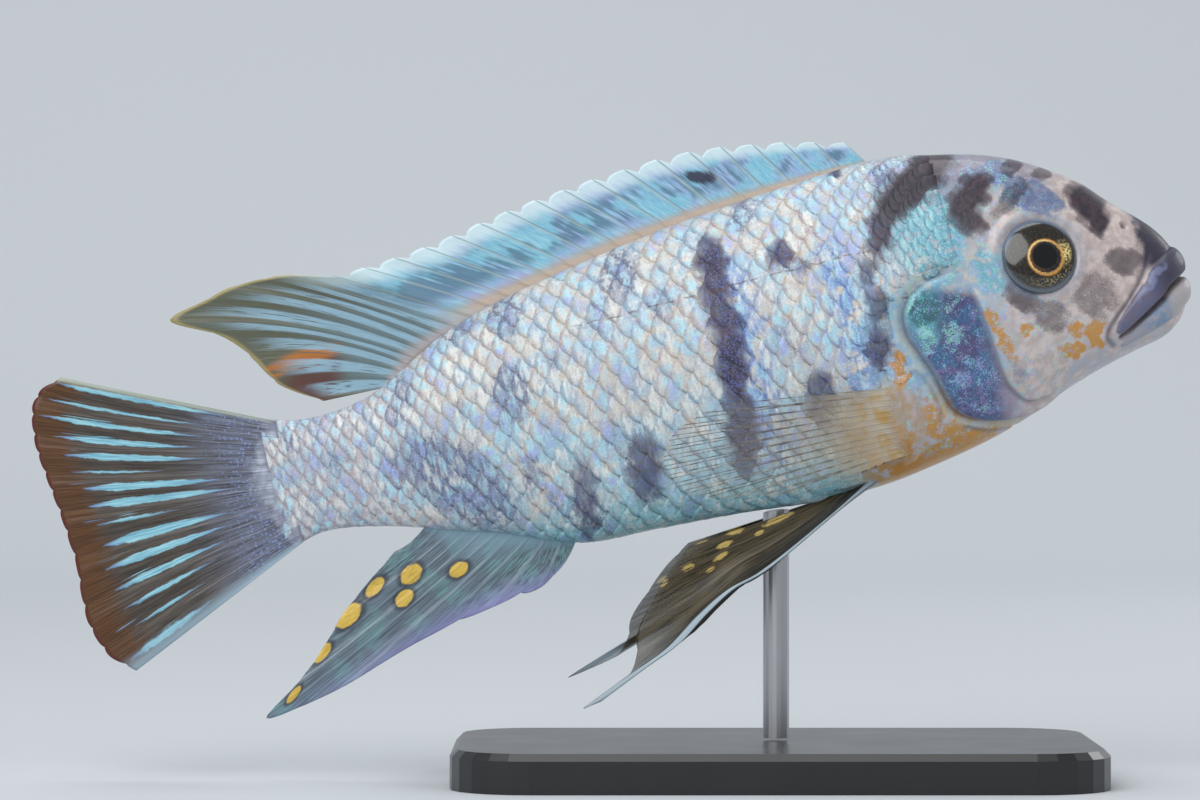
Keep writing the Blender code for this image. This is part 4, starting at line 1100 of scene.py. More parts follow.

# %% [markdown]
# A real scale shines most in its middle, and thin skin dulls its rim. The plate's own coordinates
# place a painted highlight there, an oval, and a draw makes some scales shine more than others.

# %% The scales
def scale_finish():
    """A scale: a painted streaky glint in its middle, painted sparkles, a warm rim, the lateral line, and
    the pattern beneath.
    """
    finish = Finish("fish_scale", {"Roughness": 0.3, "Coat Roughness": 0.12, "IOR": 1.45})
    place = finish.fish_place()
    u, _, v = finish.split(place)
    along, across, _ = finish.split(finish.attribute("plate", "Vector"))
    draw = finish.split(finish.attribute("root", "Vector"))[2]
    other_draw = finish.chance(draw * 991)
    brushed = finish.node("ShaderNodeMapping", values={"Vector": place, "Scale": (1.7, 1.7, 0.5)})
    streaks, sparkle = finish.noise(brushed, 1.5, 4), finish.noise(place, 5, 3)
    colour, dark = spotted(finish, ground(finish, place), place)
    oval = finish.length(finish.flat((along + 0.74) / 0.17, across / 0.4))
    shine = (oval - (streaks - 0.5) * 4).step(1.2, 0.2) * (0.25 + other_draw * 0.75)
    hue = finish.noise(place, 0.35, 2) + (draw - 0.5) * 0.22
    glow = finish.painted((0.82, 0.84, 0.80), (hue.step(0.40, 0.52), (0.42, 0.76, 0.88)),
                          (hue.step(0.56, 0.64), (0.38, 0.48, 0.88)),
                          (finish.attribute("cyan") * 0.8, (0.26, 0.66, 0.68)))
    clear = (1 - dark) * (1 - finish.attribute("slate") * 0.35)
    clear = clear * (1 - u.step(61, 67) * v.step(-6, -9) * 0.75)
    line = (v - u * 0.03 + finish.noise(place, 0.6, 1) * 0.8).bump_at(8.6, 0.17)
    line = line * u.step(34, 38) * u.step(73, 71) * finish.noise(place, 1.1, 1).step(0.38, 0.5)
    finish.paint("Base Color", finish.painted(
        colour,
        # painted glints: streaks, the oval highlight on each scale, and sparkles, with blue sparkles in the
        # dark bars
        (streaks.step(0.52, 0.7) * clear * 0.5, glow),
        (shine * clear * 0.9, glow),
        (sparkle.step(0.56, 0.66) * clear * 0.5, (0.62, 0.82, 0.90)),
        (sparkle.step(0.46, 0.36) * clear * 0.4, (0.42, 0.34, 0.36)),
        (sparkle.step(0.46, 0.62) * dark * 0.75 * u.step(74, 68), (0.13, 0.16, 0.42)),
        (finish.attribute("rim").step(0.8, 1.0) * finish.attribute("lift") * 0.12, (0.34, 0.25, 0.26)),
        (line * 0.7, (0.13, 0.08, 0.07))))
    finish.paint("Roughness", 0.44 - shine * 0.16 + dark * 0.15)
    finish.paint("Coat Weight", 0.3 - dark * 0.25)
    finish.bump(streaks + sparkle * 0.5, 0.04)
    return finish.made


wet_skin, fish_scale = skin_finish(), scale_finish()
skin.data.materials.append(wet_skin)
print("finishes:", wet_skin.name, fish_scale.name)

# %% [markdown]
# The tree's result is still tied to its modifier. It is read once as a plain mesh, which takes
# the notes and the unwrap, and the points and the plate are removed.

# %% Plates become the coat
def plain_copy(source, name):
    """The evaluated object as a plain mesh, with no modifier left."""
    graph = bpy.context.evaluated_depsgraph_get()
    mesh = bpy.data.meshes.new_from_object(source.evaluated_get(graph), depsgraph=graph)
    mesh.name = name
    return placed(name, mesh)


def read(mesh, name, width):
    """The values of a mesh's attribute, one row a point."""
    field = {1: "value", 3: "vector"}[width]
    flat = np.empty(len(mesh.vertices) * width, np.float32)
    mesh.attributes[name].data.foreach_get(field, flat)
    return flat.reshape(-1, width)


FROM_MIDDLE = 0.2               # how much of a scale's pattern comes from its own middle
PATCH = 0.003                   # the size of a scale's patch in the unwrap


def make_scales():
    """Runs the tree, notes the pattern and gives each scale its patch of the unwrap."""
    modifier = scale_roots_made.modifiers.new("scales", "NODES")
    modifier.node_group = scale_nodes
    set_inputs(modifier, {"Plate": scale_plate, "Skin": skin, "Finish": fish_scale, "Height unit": MM,
                          "Turn": math.radians(4), "Seed": 3})
    scales = plain_copy(scale_roots_made, "scales")
    mesh = scales.data
    root, plate, length = read(mesh, "root", 3), read(mesh, "plate", 3), read(mesh, "long", 1)
    middle, _ = skin_surface(root[:, 0] - 0.6 * length[:, 0], root[:, 1])
    note_spots(mesh, middle * FROM_MIDDLE + fish_points(mesh) * (1 - FROM_MIDDLE))
    place = np.stack([(root[:, 0] - ring_u[0]) / (ring_u[-1] - ring_u[0]), (root[:, 1] / math.tau) % 1], -1)
    place = place * (1 - 2 * UV_MARGIN) + UV_MARGIN + (plate[:, :2] + (0.5, 0)) * PATCH
    lay_out(mesh, place[corner_points(mesh)], 0)
    bpy.data.objects.remove(scale_roots_made)
    bpy.data.objects.remove(scale_plate)
    return scales


scales = make_scales()
print("scales:", sum(len(p.vertices) - 2 for p in scales.data.polygons), "triangles")

# %% [markdown]
# ## Fins
# A fin is a membrane stretched between rays. Here each fin starts from its rays, as polylines
# from root to tip, and fine columns are laid between them. The membrane is very thin, swells to a
# ridge along each ray, and its free edge dips between two rays.

# %% Smooth values between rays
def between(values, at):
    """Smooth values at fractional places of an evenly numbered list, which may hold arrays."""
    values = np.asarray(values, float)
    last = len(values) - 1
    i = np.clip(np.floor(at).astype(int), 0, last - 1)
    t = (np.asarray(at) - i).reshape((-1,) + (1,) * (values.ndim - 1))
    before, first = values[np.maximum(i - 1, 0)], values[i]
    second, after = values[i + 1], values[np.minimum(i + 2, last)]
    lean, next_lean = (second - before) / 2, (after - first) / 2
    return (first * (1 + 2 * t) * (1 - t) ** 2 + second * t * t * (3 - 2 * t)
            + lean * t * (1 - t) ** 2 - next_lean * t * t * (1 - t))


def straight_rays(count, root, tip, bow, rows):
    """Rays from root(c) to tip(c), bent by bow(c) at their middle, each with rows steps."""
    t = np.linspace(0, 1, rows + 1)[:, None]
    return np.array([np.array(root(c)) * (1 - t) + np.array(tip(c)) * t + np.array(bow(c)) * 4 * t * (1 - t)
                     for c in range(count)])


def rows_of(table, c):
    """Values at ray c of smooth curves through rows of (ray number, values)."""
    columns = list(zip(*table))
    return [float(curve(list(zip(columns[0], column)))(c)) for column in columns[1:]]


def tips_from(table):
    """The tip of ray c on the fish's middle plane, from rows of (ray number, u, v)."""
    def tip(c):
        u, v = rows_of(table, c)
        return (u, 0, v)

    return tip


print("half way between two rays:", between([[0, 0], [2, 4]], np.array([0.5]))[0])

# %% [markdown]
# A plane with a solidify modifier would be even in thickness. Two sheets either side of the
# middle, joined round the rim, can swell along each ray and thin out to the edge.

# %% The membrane and its rays
FIN_COLUMNS = 10                # from one ray to the next
SOFT_NOTCH = 0.25               # how deep the edge dips between two soft rays
ROOT_DEPTH = 0.6                # how far inside the body the rays of the back and belly start
MEMBRANE_HALF, RAY_HALF, EDGE_HALF = 0.06, 0.17, 0.03


def fin_grid(rays, notch, notch_share):
    """Points, ray numbers and shares outwards of a fin's middle sheet."""
    count, rows = rays.shape[0], rays.shape[1] - 1
    at = np.linspace(0, count - 1, (count - 1) * FIN_COLUMNS + 1)
    grid = between(rays, at)
    part = at % 1
    rise = np.where(part < notch_share, part / notch_share, (1 - part) / (1 - notch_share))
    depth = np.array([notch(c) for c in at]) * np.clip(rise, 0, 1) ** 3
    length = np.linalg.norm(grid[:, -1] - grid[:, 0], axis=-1)
    out = np.linspace(0, 1, rows + 1)[None, :] * (1 - depth / np.maximum(length, 1))[:, None]
    spot = out * rows
    low = np.clip(spot.astype(int), 0, rows - 1)
    column = np.arange(len(at))[:, None]
    share = (spot - low)[..., None]
    return grid[column, low] * (1 - share) + grid[column, low + 1] * share, at, out


def half_thickness(at, out, spines, root_half, root_share):
    """Half the fin's thickness: flesh at its root, ridges along its rays, which fork when soft."""
    c = at[:, None]
    soft = soft_step(c, spines - 0.6, spines - 0.4)
    fork = 0.2 * soft * soft_step(out, 0.35, 1)
    from_ray = np.abs(c - np.round(c))
    ridge = bell(np.abs(from_ray - fork), 0.085) * (1 - 0.75 * out)
    flesh = root_half * np.clip(1 - out / root_share, 0, 1) ** 1.4
    return MEMBRANE_HALF + RAY_HALF * ridge * (1 - 0.35 * soft) + flesh


def make_fin(name, rays, finish, side=1, spines=0, notch=lambda c: SOFT_NOTCH, notch_share=0.5,
             root_half=0.35, root_share=0.16, ripple=0.12):
    """One closed fin from its rays, with its unwrap and the numbers its finish reads."""
    mid, at, out = fin_grid(rays, notch, notch_share)
    along, across = np.gradient(mid, axis=1), np.gradient(mid, axis=0)
    normal = np.cross(along, across) * side
    normal /= np.maximum(np.linalg.norm(normal, axis=-1, keepdims=True), 1e-9)
    wave = np.sin(at[:, None] * math.pi) * soft_step(out, 0.1, 0.6) * ripple
    mid = mid + normal * wave[..., None]
    half = half_thickness(at, out, spines, root_half, root_share)
    half[:, -1] = EDGE_HALF
    shift = normal * half[..., None]
    width, count = mid.shape[1], mid.shape[0]
    points = np.concatenate([(mid + shift).reshape(-1, 3), (mid - shift).reshape(-1, 3)])
    i, r = np.meshgrid(np.arange(count - 1), np.arange(width - 1), indexing="ij")
    a, b, other = (i * width + r).ravel(), ((i + 1) * width + r).ravel(), count * width
    faces = np.concatenate([np.stack([a, b, b + 1, a + 1], -1),
                            other + np.stack([a + 1, b + 1, b, a], -1)]).tolist()
    rim = [k * width for k in range(count)] + [(count - 1) * width + k for k in range(1, width)]
    rim += [k * width + width - 1 for k in range(count - 2, -1, -1)] + list(range(width - 2, 0, -1))
    faces += [(p, other + p, other + q, q) for p, q in zip(rim, rim[1:] + rim[:1])]
    fin = new_mesh(name, points, faces, finish)
    face_outwards(fin.data)
    note(fin.data, "ray", np.tile(np.repeat(at, width), 2))
    note(fin.data, "out", np.tile(out.ravel(), 2))
    places = np.stack([np.tile(np.repeat(at / at[-1], width), 2), np.tile(out.ravel(), 2) * 0.46], -1)
    places[other:, 1] += 0.5
    lay_out(fin.data, places[corner_points(fin.data)])
    return fin


print("a membrane is", 2 * MEMBRANE_HALF, "mm thick")

# %% [markdown]
# ## What fins are drawn with
# Each point knows its ray number and how far out it lies. The number's fraction says how far it
# is from the nearest ray. Noise along the fin, stretched from root to edge, gives the fine
# streaks.

# %% Shared fin masks
class FinFinish(Finish):
    """A finish that knows the ray number, the share outwards and the place in the fish."""

    def __init__(self, name, fixed):
        super().__init__(name, {"Roughness": 0.34, "Coat Roughness": 0.15, "IOR": 1.4, **fixed})
        self.ray, self.out = self.attribute("ray"), self.attribute("out")
        self.place = self.fish_place()
        self.u, _, self.v = self.split(self.place)
        self.part = self.maths("FRACT", self.ray)
        self.mid_gap = self.part.bump_at(0.5, 0.5)
        self.along = self.flat(self.ray * 3, self.out * 1.5)

    def rays(self, width):
        """1 on a ray, 0 beyond that share of the gap from it."""
        nearest = self.maths("MINIMUM", self.part, 1 - self.part)
        return nearest.step(width, 0)

    def spot(self, u, v, long, wide, lean=0):
        """Distance from an ellipse's middle in side view, which is 1 on its outline."""
        return self.length(self.node("ShaderNodeMapping", {"vector_type": "TEXTURE"}, {
            "Vector": self.flat(self.u, self.v), "Location": (u, v, 0),
            "Rotation": (0, 0, math.radians(lean)), "Scale": (long, wide, 1)}))

    def any_spot(self, spots, inner, outer, wander=0.0):
        """1 inside any of the spots, 0 outside all of them."""
        shown = None
        for spot in spots:
            mask = (self.spot(*spot) + wander).step(outer, inner)
            shown = mask if shown is None else self.maths("MAXIMUM", shown, mask)
        return shown


print("fin finishes ready")

# %% [markdown]
# The long fin on the back has eighteen spines, each with a pale flap behind its tip, and nine
# soft rays drawn out to a point. One table of tips gives both.

# %% Dorsal fin
DORSAL_SPINES, DORSAL_RAYS, DORSAL_BOW = 18, 27, 1.7
DORSAL_ROOTS = [(0, 73.2), (17, 25.6), (26, 13.8)]
DORSAL_TIPS = [(0, 71.1, 23), (2, 64.3, 24.6), (5, 53.5, 26), (8, 42, 25.4), (11, 31.6, 24.1),
               (14, 21.4, 22.2), (17, 10.4, 21.4), (18, 5.6, 22.6), (20, -1.2, 22.7), (21, -4.8, 21.8),
               (22, -8.8, 20.5), (23, -3.4, 17.4), (24, -0.6, 14.2), (25, 1.7, 10.6), (26, 6.2, 7.6)]
LAPPET_DROP, LAPPET_AT = 1.3, 0.85  # how deep the edge dips, and how far on its way to the next spine


def dorsal_finish():
    """Pearly cyan and lilac with pale lappets in front; brown, orange and yellow between rays behind."""
    f = FinFinish("dorsal_fin", {})
    streak, broad = f.noise(f.along, 1.5, 4), f.noise(f.place, 0.22, 2)
    fine = f.noise(f.along, 5, 3)
    drawn = f.noise(f.flat(f.ray * 2, f.out * 0.5), 3, 3)
    soft = f.ray.step(15.8, 19)
    shade = (drawn + (broad - 0.5) * 1.2 + f.ray * 0.012).step(0.5, 0.7)
    shade = shade * f.out.step(0.85, 0.6) * f.out.step(0.2, 0.4)
    dark_spot = f.spot(54.1, 22.9, 2.1, 0.9, -20) + streak - fine * 0.6
    front = f.painted((0.22, 0.52, 0.68), ((broad + fine * 0.3).step(0.55, 0.75), (0.36, 0.44, 0.74)),
                      (fine.step(0.46, 0.62) * 0.4, (0.46, 0.76, 0.84)),
                      (drawn.step(0.5, 0.64) * 0.6, (0.42, 0.72, 0.82)),
                      (shade * 0.8, (0.07, 0.18, 0.25)),
                      (f.part.step(0.22, 0.04) * 0.5, (0.50, 0.60, 0.58)),
                      ((f.out + streak * 0.2).step(0.78, 1.0) * 0.9, (0.66, 0.82, 0.86)),
                      (dark_spot.step(1.3, 0.8) * 0.95, (0.04, 0.04, 0.07)))
    orange = f.any_spot([(5.5, 12.9, 4.2, 1.1, 4), (1.5, 12.2, 2, 0.9, 10)], 0.5, 1.3)
    maroon = f.any_spot([(5, 9.5, 5, 2.8, 40)], 0.5, 1.4)
    band = f.mid_gap.step(0.25, 0.6) * (fine + streak * 0.5).step(0.5, 0.75) * f.out.step(0.98, 0.6)
    rear = f.painted(f.mix(fine, (0.07, 0.075, 0.05), (0.15, 0.16, 0.11)),
                     (f.out.step(0.7, 0.2) * 0.6, (0.15, 0.25, 0.30)),
                     (maroon * 0.85, (0.11, 0.035, 0.03)),
                     (orange * streak.step(0.36, 0.5), (0.42, 0.15, 0.025)),
                     (band * 0.9, (0.30, 0.48, 0.60)),
                     (f.out.step(0.95, 0.99) * 0.8, (0.42, 0.35, 0.14)))
    f.paint("Base Color", f.painted(
        f.mix(soft, front, rear), (f.rays(0.06) * (1 - soft) * 0.6, (0.13, 0.22, 0.27)),
        ((f.out + fine * 0.08).step(0.30, 0.12) * (1 - soft), (0.50, 0.38, 0.28)),
        (f.out.step(0.1, 0.02), (0.40, 0.36, 0.36))))
    f.paint("Coat Weight", 0.25)
    f.bump(fine, 0.06)
    return f.made


def dorsal_rays():
    """Eighteen spines and nine soft rays, rooted a little inside the back."""
    def root(c):
        u = rows_of(DORSAL_ROOTS, c)[0]
        return (u, 0, float(back_line(u)) - ROOT_DEPTH)

    def bow(c):
        soft = max(0, (c - DORSAL_SPINES) / (DORSAL_RAYS - 1 - DORSAL_SPINES))
        return (0, 0, DORSAL_BOW * math.sin(math.pi * soft))

    return straight_rays(DORSAL_RAYS, root, tips_from(DORSAL_TIPS), bow, 36)


dorsal_fin = make_fin("dorsal", dorsal_rays(), dorsal_finish(), spines=DORSAL_SPINES, notch_share=LAPPET_AT,
                      notch=lambda c: LAPPET_DROP if c < DORSAL_SPINES - 1 else SOFT_NOTCH)
print("dorsal fin:", len(dorsal_fin.data.polygons), "faces")

# %% [markdown]
# Sixteen rays fan out, with a tapered cyan streak in each gap. Separate strips would catch on the
# rays, so each streak is painted, with its own width, start and end.

# %% Tail fin
TAIL_RAYS, TAIL_ROOT_TOP, TAIL_ROOT_HEIGHT = 16, 6.6, 14.2
TAIL_FLARE = -2.2               # the rays above and below bow towards the fin's middle
TAIL_TIPS = [(0, -22.4, 17), (1, -24.9, 16.2), (2, -26.3, 14.7), (4, -27.06, 10.3), (8, -26, 1),
             (10, -25.6, -4.6), (12, -25.8, -10.6), (14, -24.1, -15.5), (15, -21.6, -17.7)]
# each streak's half width as a share of the gap, and the shares outwards where it starts and ends
TAIL_STREAKS = [(0.13, 0.22, 1.0), (0.11, 0.30, 0.97), (0.15, 0.30, 0.98), (0.2, 0.34, 0.92),
                (0.23, 0.32, 0.9), (0.09, 0.50, 0.9), (0.25, 0.26, 0.88), (0.25, 0.24, 0.88),
                (0.1, 0.48, 0.87), (0.25, 0.28, 0.87), (0.2, 0.30, 0.88), (0.17, 0.32, 0.86),
                (0.13, 0.38, 0.84), (0.1, 0.46, 0.84), (0.14, 0.5, 0.97)]


def tail_finish():
    """Grey-brown membrane with a tapered cyan streak between two rays and a brown, red-rimmed edge."""
    f = FinFinish("tail_fin", {})
    half, start, end = f.split(f.attribute("streak", "Vector"))
    wander, fine = f.noise(f.place, 0.9, 3) - 0.5, f.noise(f.along, 4, 3)
    far = f.out + wander * 0.06
    lens = f.maths("SMOOTH_MIN", (far - start) * 5, (end - far) * 7, 0.3)
    lens = f.maths("MINIMUM", f.maths("MAXIMUM", lens, -0.4), 1.0)
    from_streak = f.maths("ABSOLUTE", f.part - 0.5 + wander * 0.2) - half * lens
    streak = from_streak.step(0.04, -0.06) * lens.step(0, 0.15)
    dash_line = f.maths("FRACT", f.ray + 0.27).bump_at(0.5, 0.09)
    dashes = dash_line * (f.noise(f.along, 2.6, 1) - 0.02).step(0.56, 0.6)
    dashes = dashes * f.out.step(0.66, 0.72) * f.out.step(0.93, 0.88)
    rim = (f.out + wander * 0.12).step(0.78, 0.92)
    membrane = f.painted(f.mix(fine.step(0.36, 0.62), (0.065, 0.06, 0.062), (0.13, 0.125, 0.13)),
                         (f.u.step(-8, -15) * 0.7, f.mix(fine.step(0.36, 0.62), (0.035, 0.026, 0.018),
                                                         (0.085, 0.06, 0.036))),
                         (f.rays(0.1) * 0.5, (0.03, 0.026, 0.022)),
                         (rim * 0.9, f.mix(fine.step(0.3, 0.7), (0.075, 0.028, 0.006), (0.13, 0.05, 0.01))),
                         (f.out.step(0.98, 0.99), (0.12, 0.025, 0.015)))
    upper, lower = f.ray.step(0.5, 0.2), f.ray.step(14.2, 14.9)
    scaly = (f.u + 3.6 - (f.v + 0.4) * (f.v + 0.4) * 0.07 + wander * 4 + fine - 0.5).step(-1.2, 1.4)
    specks = f.cells(f.place, 2.2).step(0.4, 0.15) * f.u.step(-10, -3)
    plates = f.cells(f.place, 0.75).step(0.75, 0.2)
    f.paint("Base Color", f.painted(
        membrane,
        (f.u.step(-12, -4) * fine.step(0.35, 0.6) * 0.7, (0.19, 0.23, 0.36)),
        (specks * 0.7, (0.24, 0.34, 0.70)),
        (f.maths("MAXIMUM", streak, dashes) * 0.97, f.painted(
            f.mix(fine.step(0.35, 0.65), (0.17, 0.43, 0.58), (0.36, 0.70, 0.78)),
            (lens.step(0.85, 0.15) * 0.75, (0.16, 0.24, 0.52)))),
        (upper * 0.8, (0.46, 0.52, 0.44)), (lower * 0.75, (0.36, 0.50, 0.60)),
        (scaly, f.mix(plates * fine.step(0.3, 0.6), (0.28, 0.30, 0.38), (0.52, 0.58, 0.68)))))
    f.paint("Coat Weight", 0.12)
    f.bump(fine + streak * 0.4 + scaly * plates * 2, 0.06)
    return f.made


def tail_rays():
    """Sixteen rays that fan out from the stem."""
    def root(c):
        return (0.4, 0, TAIL_ROOT_TOP - TAIL_ROOT_HEIGHT * c / (TAIL_RAYS - 1))

    def bow(c):
        share = c / (TAIL_RAYS - 1)
        return (0, 0, TAIL_FLARE * (0.5 - share) * math.sin(math.pi * share) ** 0.5)

    return straight_rays(TAIL_RAYS, root, tips_from(TAIL_TIPS), bow, 44)


tail_fin = make_fin("tail", tail_rays(), tail_finish(), root_half=0.95, root_share=0.24)
gap_of = np.clip(read(tail_fin.data, "ray", 1)[:, 0].astype(int), 0, TAIL_RAYS - 2)
note(tail_fin.data, "streak", np.array(TAIL_STREAKS)[gap_of], "FLOAT_VECTOR")
print("tail fin:", len(tail_fin.data.polygons), "faces")

# %% [markdown]
# A male's anal fin carries golden egg spots with dark rings. They are ellipses in side view, a
# little ragged, so they run over several rays.

# %% Anal fin
ANAL_RAYS, ANAL_SPINES, ANAL_ROOT_FRONT, ANAL_ROOT_LENGTH = 11, 3, 31, 16.4
SPINE_NOTCH = 0.9
ANAL_TIPS = [(0, 27.8, -17.6), (1, 25.4, -18.9), (2, 19.2, -19.9), (3, 10.4, -21.8), (4, 0.4, -25),
             (5, -8.2, -26.4), (6, -3.6, -23), (7, 0, -19.8), (8, 2.8, -16.8), (9, 6.4, -13.9),
             (10, 10.4, -11)]
EGG_SPOTS = [(17, -14.7, 1.25, 0.8, 20), (11.6, -14, 1.45, 1, 32), (10.2, -16.5, 1.25, 0.85, 32),
             (7.2, -14.5, 1.5, 0.7, 35), (3.5, -17, 1.9, 1.05, 30), (-0.4, -20.5, 1.5, 0.65, 35),
             (-4.6, -24.4, 1.3, 0.4, 38)]


def anal_finish():
    """Grey-turquoise streaks, a violet leading edge and the golden egg spots of a male."""
    f = FinFinish("anal_fin", {})
    streak, sheen = f.noise(f.along, 4.5, 3), f.noise(f.place, 0.3, 2)
    wander = (f.noise(f.place, 1.6, 2) - 0.5) * 0.3
    spots, rings = f.any_spot(EGG_SPOTS, 0.85, 1.05, wander), f.any_spot(EGG_SPOTS, 1.1, 1.6, wander)
    lines = f.noise(f.along, 9, 1)
    f.paint("Base Color", f.painted(
        f.mix(streak.step(0.36, 0.66), (0.09, 0.115, 0.145), (0.17, 0.24, 0.29)),
        (sheen.step(0.45, 0.6) * streak.step(0.4, 0.6) * 0.7, (0.16, 0.36, 0.36)),
        (f.rays(0.14) * 0.45, (0.36, 0.44, 0.54)),
        (f.ray.step(5.4, 2.6) * f.out.step(0.4, 0.95) * 0.85,
         f.mix(streak, (0.19, 0.17, 0.42), (0.34, 0.38, 0.62))),
        (f.out.step(0.2, 0.02) * 0.8, (0.26, 0.42, 0.52)),
        (rings * 0.75, (0.035, 0.035, 0.05)),
        (spots, f.mix(lines.step(0.4, 0.65), (0.80, 0.56, 0.11), (0.55, 0.34, 0.04)))))
    f.paint("Coat Weight", 0.25)
    f.bump(streak, 0.06)
    return f.made


def anal_rays():
    """Three short spines and eight rays drawn out behind."""
    def root(c):
        u = ANAL_ROOT_FRONT - ANAL_ROOT_LENGTH * c / (ANAL_RAYS - 1)
        return (u, 0, float(belly_line(u)) + ROOT_DEPTH)

    return straight_rays(ANAL_RAYS, root, tips_from(ANAL_TIPS), lambda c: (0, 0, -0.4), 40)


anal_fin = make_fin("anal", anal_rays(), anal_finish(), spines=ANAL_SPINES,
                    notch=lambda c: SPINE_NOTCH if c < ANAL_SPINES else SOFT_NOTCH)
print("anal fin:", len(anal_fin.data.polygons), "faces")

# %% [markdown]
# These narrow fins trail below the breast, black with a pale leading ray. A wave on the first
# rays gives the limp line that a straight spread of rays would miss.

# %% Pelvic fins
PELVIC_RAYS, PELVIC_ROWS, PAIRED_BOW, THIRD_RAY_SAG = 6, 64, 0.6, 0.54
PELVIC_ROOT = [(66.4, 3, 0.5), (61.6, 1.9, 1.1)]
PELVIC_TIPS = [(0, 29.6, 8.5, -32.6), (1, 27.6, 8.6, -32.8), (2, 33.6, 7.8, -30.2), (3, 35.6, 6.6, -25.6),
               (4, 39.8, 5.6, -20.8), (5, 43.4, 4.8, -17.8)]
# the leading ray's line in side view: share of its length, and rise above a straight line
LEADING_WAVE = [(0, 0), (0.14, -0.2), (0.3, -0.5), (0.42, -0.3), (0.52, 0.7), (0.62, 0.3), (0.72, -0.6),
                (0.84, -0.3), (1, 0)]
PELVIC_SPOTS = [(53.8, -17.2, 2, 0.36, 10), (48.9, -17.4, 1.1, 0.36, 5), (44.6, -17.6, 1, 0.3, 5),
                (47.2, -18.6, 1.1, 0.36, 10), (46.5, -19.8, 1.1, 0.32, 20), (42.6, -20.2, 0.9, 0.34, 15),
                (39.5, -21.3, 0.8, 0.3, 25), (51.4, -18.2, 0.7, 0.26, 12), (45, -21, 0.7, 0.24, 20)]
FAR_PELVIC_SWING = math.radians(5)


def pelvic_finish():
    """Black membrane behind a pale leading ray, olive and spotted with yellow at the inside."""
    f = FinFinish("pelvic_fin", {})
    streak = f.noise(f.along, 4, 3)
    wander = (f.noise(f.place, 1.8, 2) - 0.5) * 0.8
    tip = f.out.step(0.78, 0.9) * f.ray.step(2.1, 1.7) * 0.8
    lead = f.maths("MAXIMUM", (f.ray - f.out * 0.5).step(0.5, 0.2), tip)
    olive = f.mix(streak.step(0.4, 0.6), (0.028, 0.022, 0.011), (0.10, 0.075, 0.034))
    f.paint("Base Color", f.painted(
        (0.018, 0.018, 0.015),
        ((f.ray + f.out * 1.2).step(2.6, 3.6) * 0.95, olive),
        (f.rays(0.1) * 0.4, (0.16, 0.14, 0.11)),
        (f.any_spot(PELVIC_SPOTS, 0.6, 1.1, wander) * streak.step(0.36, 0.48), (0.58, 0.42, 0.13)),
        (lead * 0.9, f.mix(streak, (0.34, 0.50, 0.62), (0.62, 0.68, 0.70)))))
    thin = f.out.step(0.6, 1.0) * f.ray.step(1.1, 1.8) * (0.5 + streak * 0.6)
    f.paint("Alpha", 0.98 - thin * 0.55)
    f.paint("Coat Weight", 0.1)
    f.bump(streak, 0.05)
    return f.made


def belly_at(u, y):
    """Height of the belly's skin a little off its middle line."""
    _, bottom, wide, middle, _, lower = section(np.array(float(u)))
    return float(middle - (middle - bottom) * (1 - (y / wide) ** lower) ** (1 / lower))


def pelvic_rays(side, swing):
    """A spine and five rays, the first of them drawn out into a trailing filament that waves."""
    def on_belly(share):
        u, y, below = [a + (b - a) * share for a, b in zip(*PELVIC_ROOT)]
        return np.array([u, y, belly_at(u, y) - below + 1.1])

    def tip(c):
        start, turn = on_belly(0), swing * (1 - c / (PELVIC_RAYS - 1))
        away = np.array(rows_of(PELVIC_TIPS, c)) - start
        u = away[0] * math.cos(turn) + away[2] * math.sin(turn)
        v = away[2] * math.cos(turn) - away[0] * math.sin(turn)
        return (start + (u, away[1], v)) * (1, side, 1)

    rays = straight_rays(PELVIC_RAYS, lambda c: on_belly(c / (PELVIC_RAYS - 1)) * (1, side, 1), tip,
                         lambda c: (0, side * PAIRED_BOW, 0), PELVIC_ROWS)
    share = np.linspace(0, 1, PELVIC_ROWS + 1)
    wave = curve(LEADING_WAVE)(share)
    for c, part in ((0, 1), (1, 1), (2, 0.8), (3, 0.3)):
        rays[c, :, 2] += wave * part * share ** 0.5
    rays[2, :, 2] -= THIRD_RAY_SAG * np.sin(math.pi * share) ** 2
    return rays


pelvic_look = pelvic_finish()
pelvic_right = make_fin("pelvic_right", pelvic_rays(-1, 0), pelvic_look, side=-1)
pelvic_left = make_fin("pelvic_left", pelvic_rays(1, FAR_PELVIC_SWING), pelvic_look)
print("pelvic fins:", len(pelvic_right.data.polygons) * 2, "faces")

# %% [markdown]
# The clear fin on the flank shows little but its dark, broken rays. The membrane stays a real
# sheet with painted transparency, so that rays and root can be seen on it.

# %% Pectoral fins
PECTORAL_RAYS, PECTORAL_TIP_Y, PECTORAL_ROOT_OFF = 14, 12.6, 1.1
PECTORAL_ROOT = [(70.3, -5.6), (70, -13.2)]
PECTORAL_TIPS = [(0, 50.5, -2.9), (2, 45.2, -4.4), (5, 42.6, -7.4), (8, 43.4, -10.6), (11, 48.6, -13.4),
                 (13, 58.6, -14.6)]


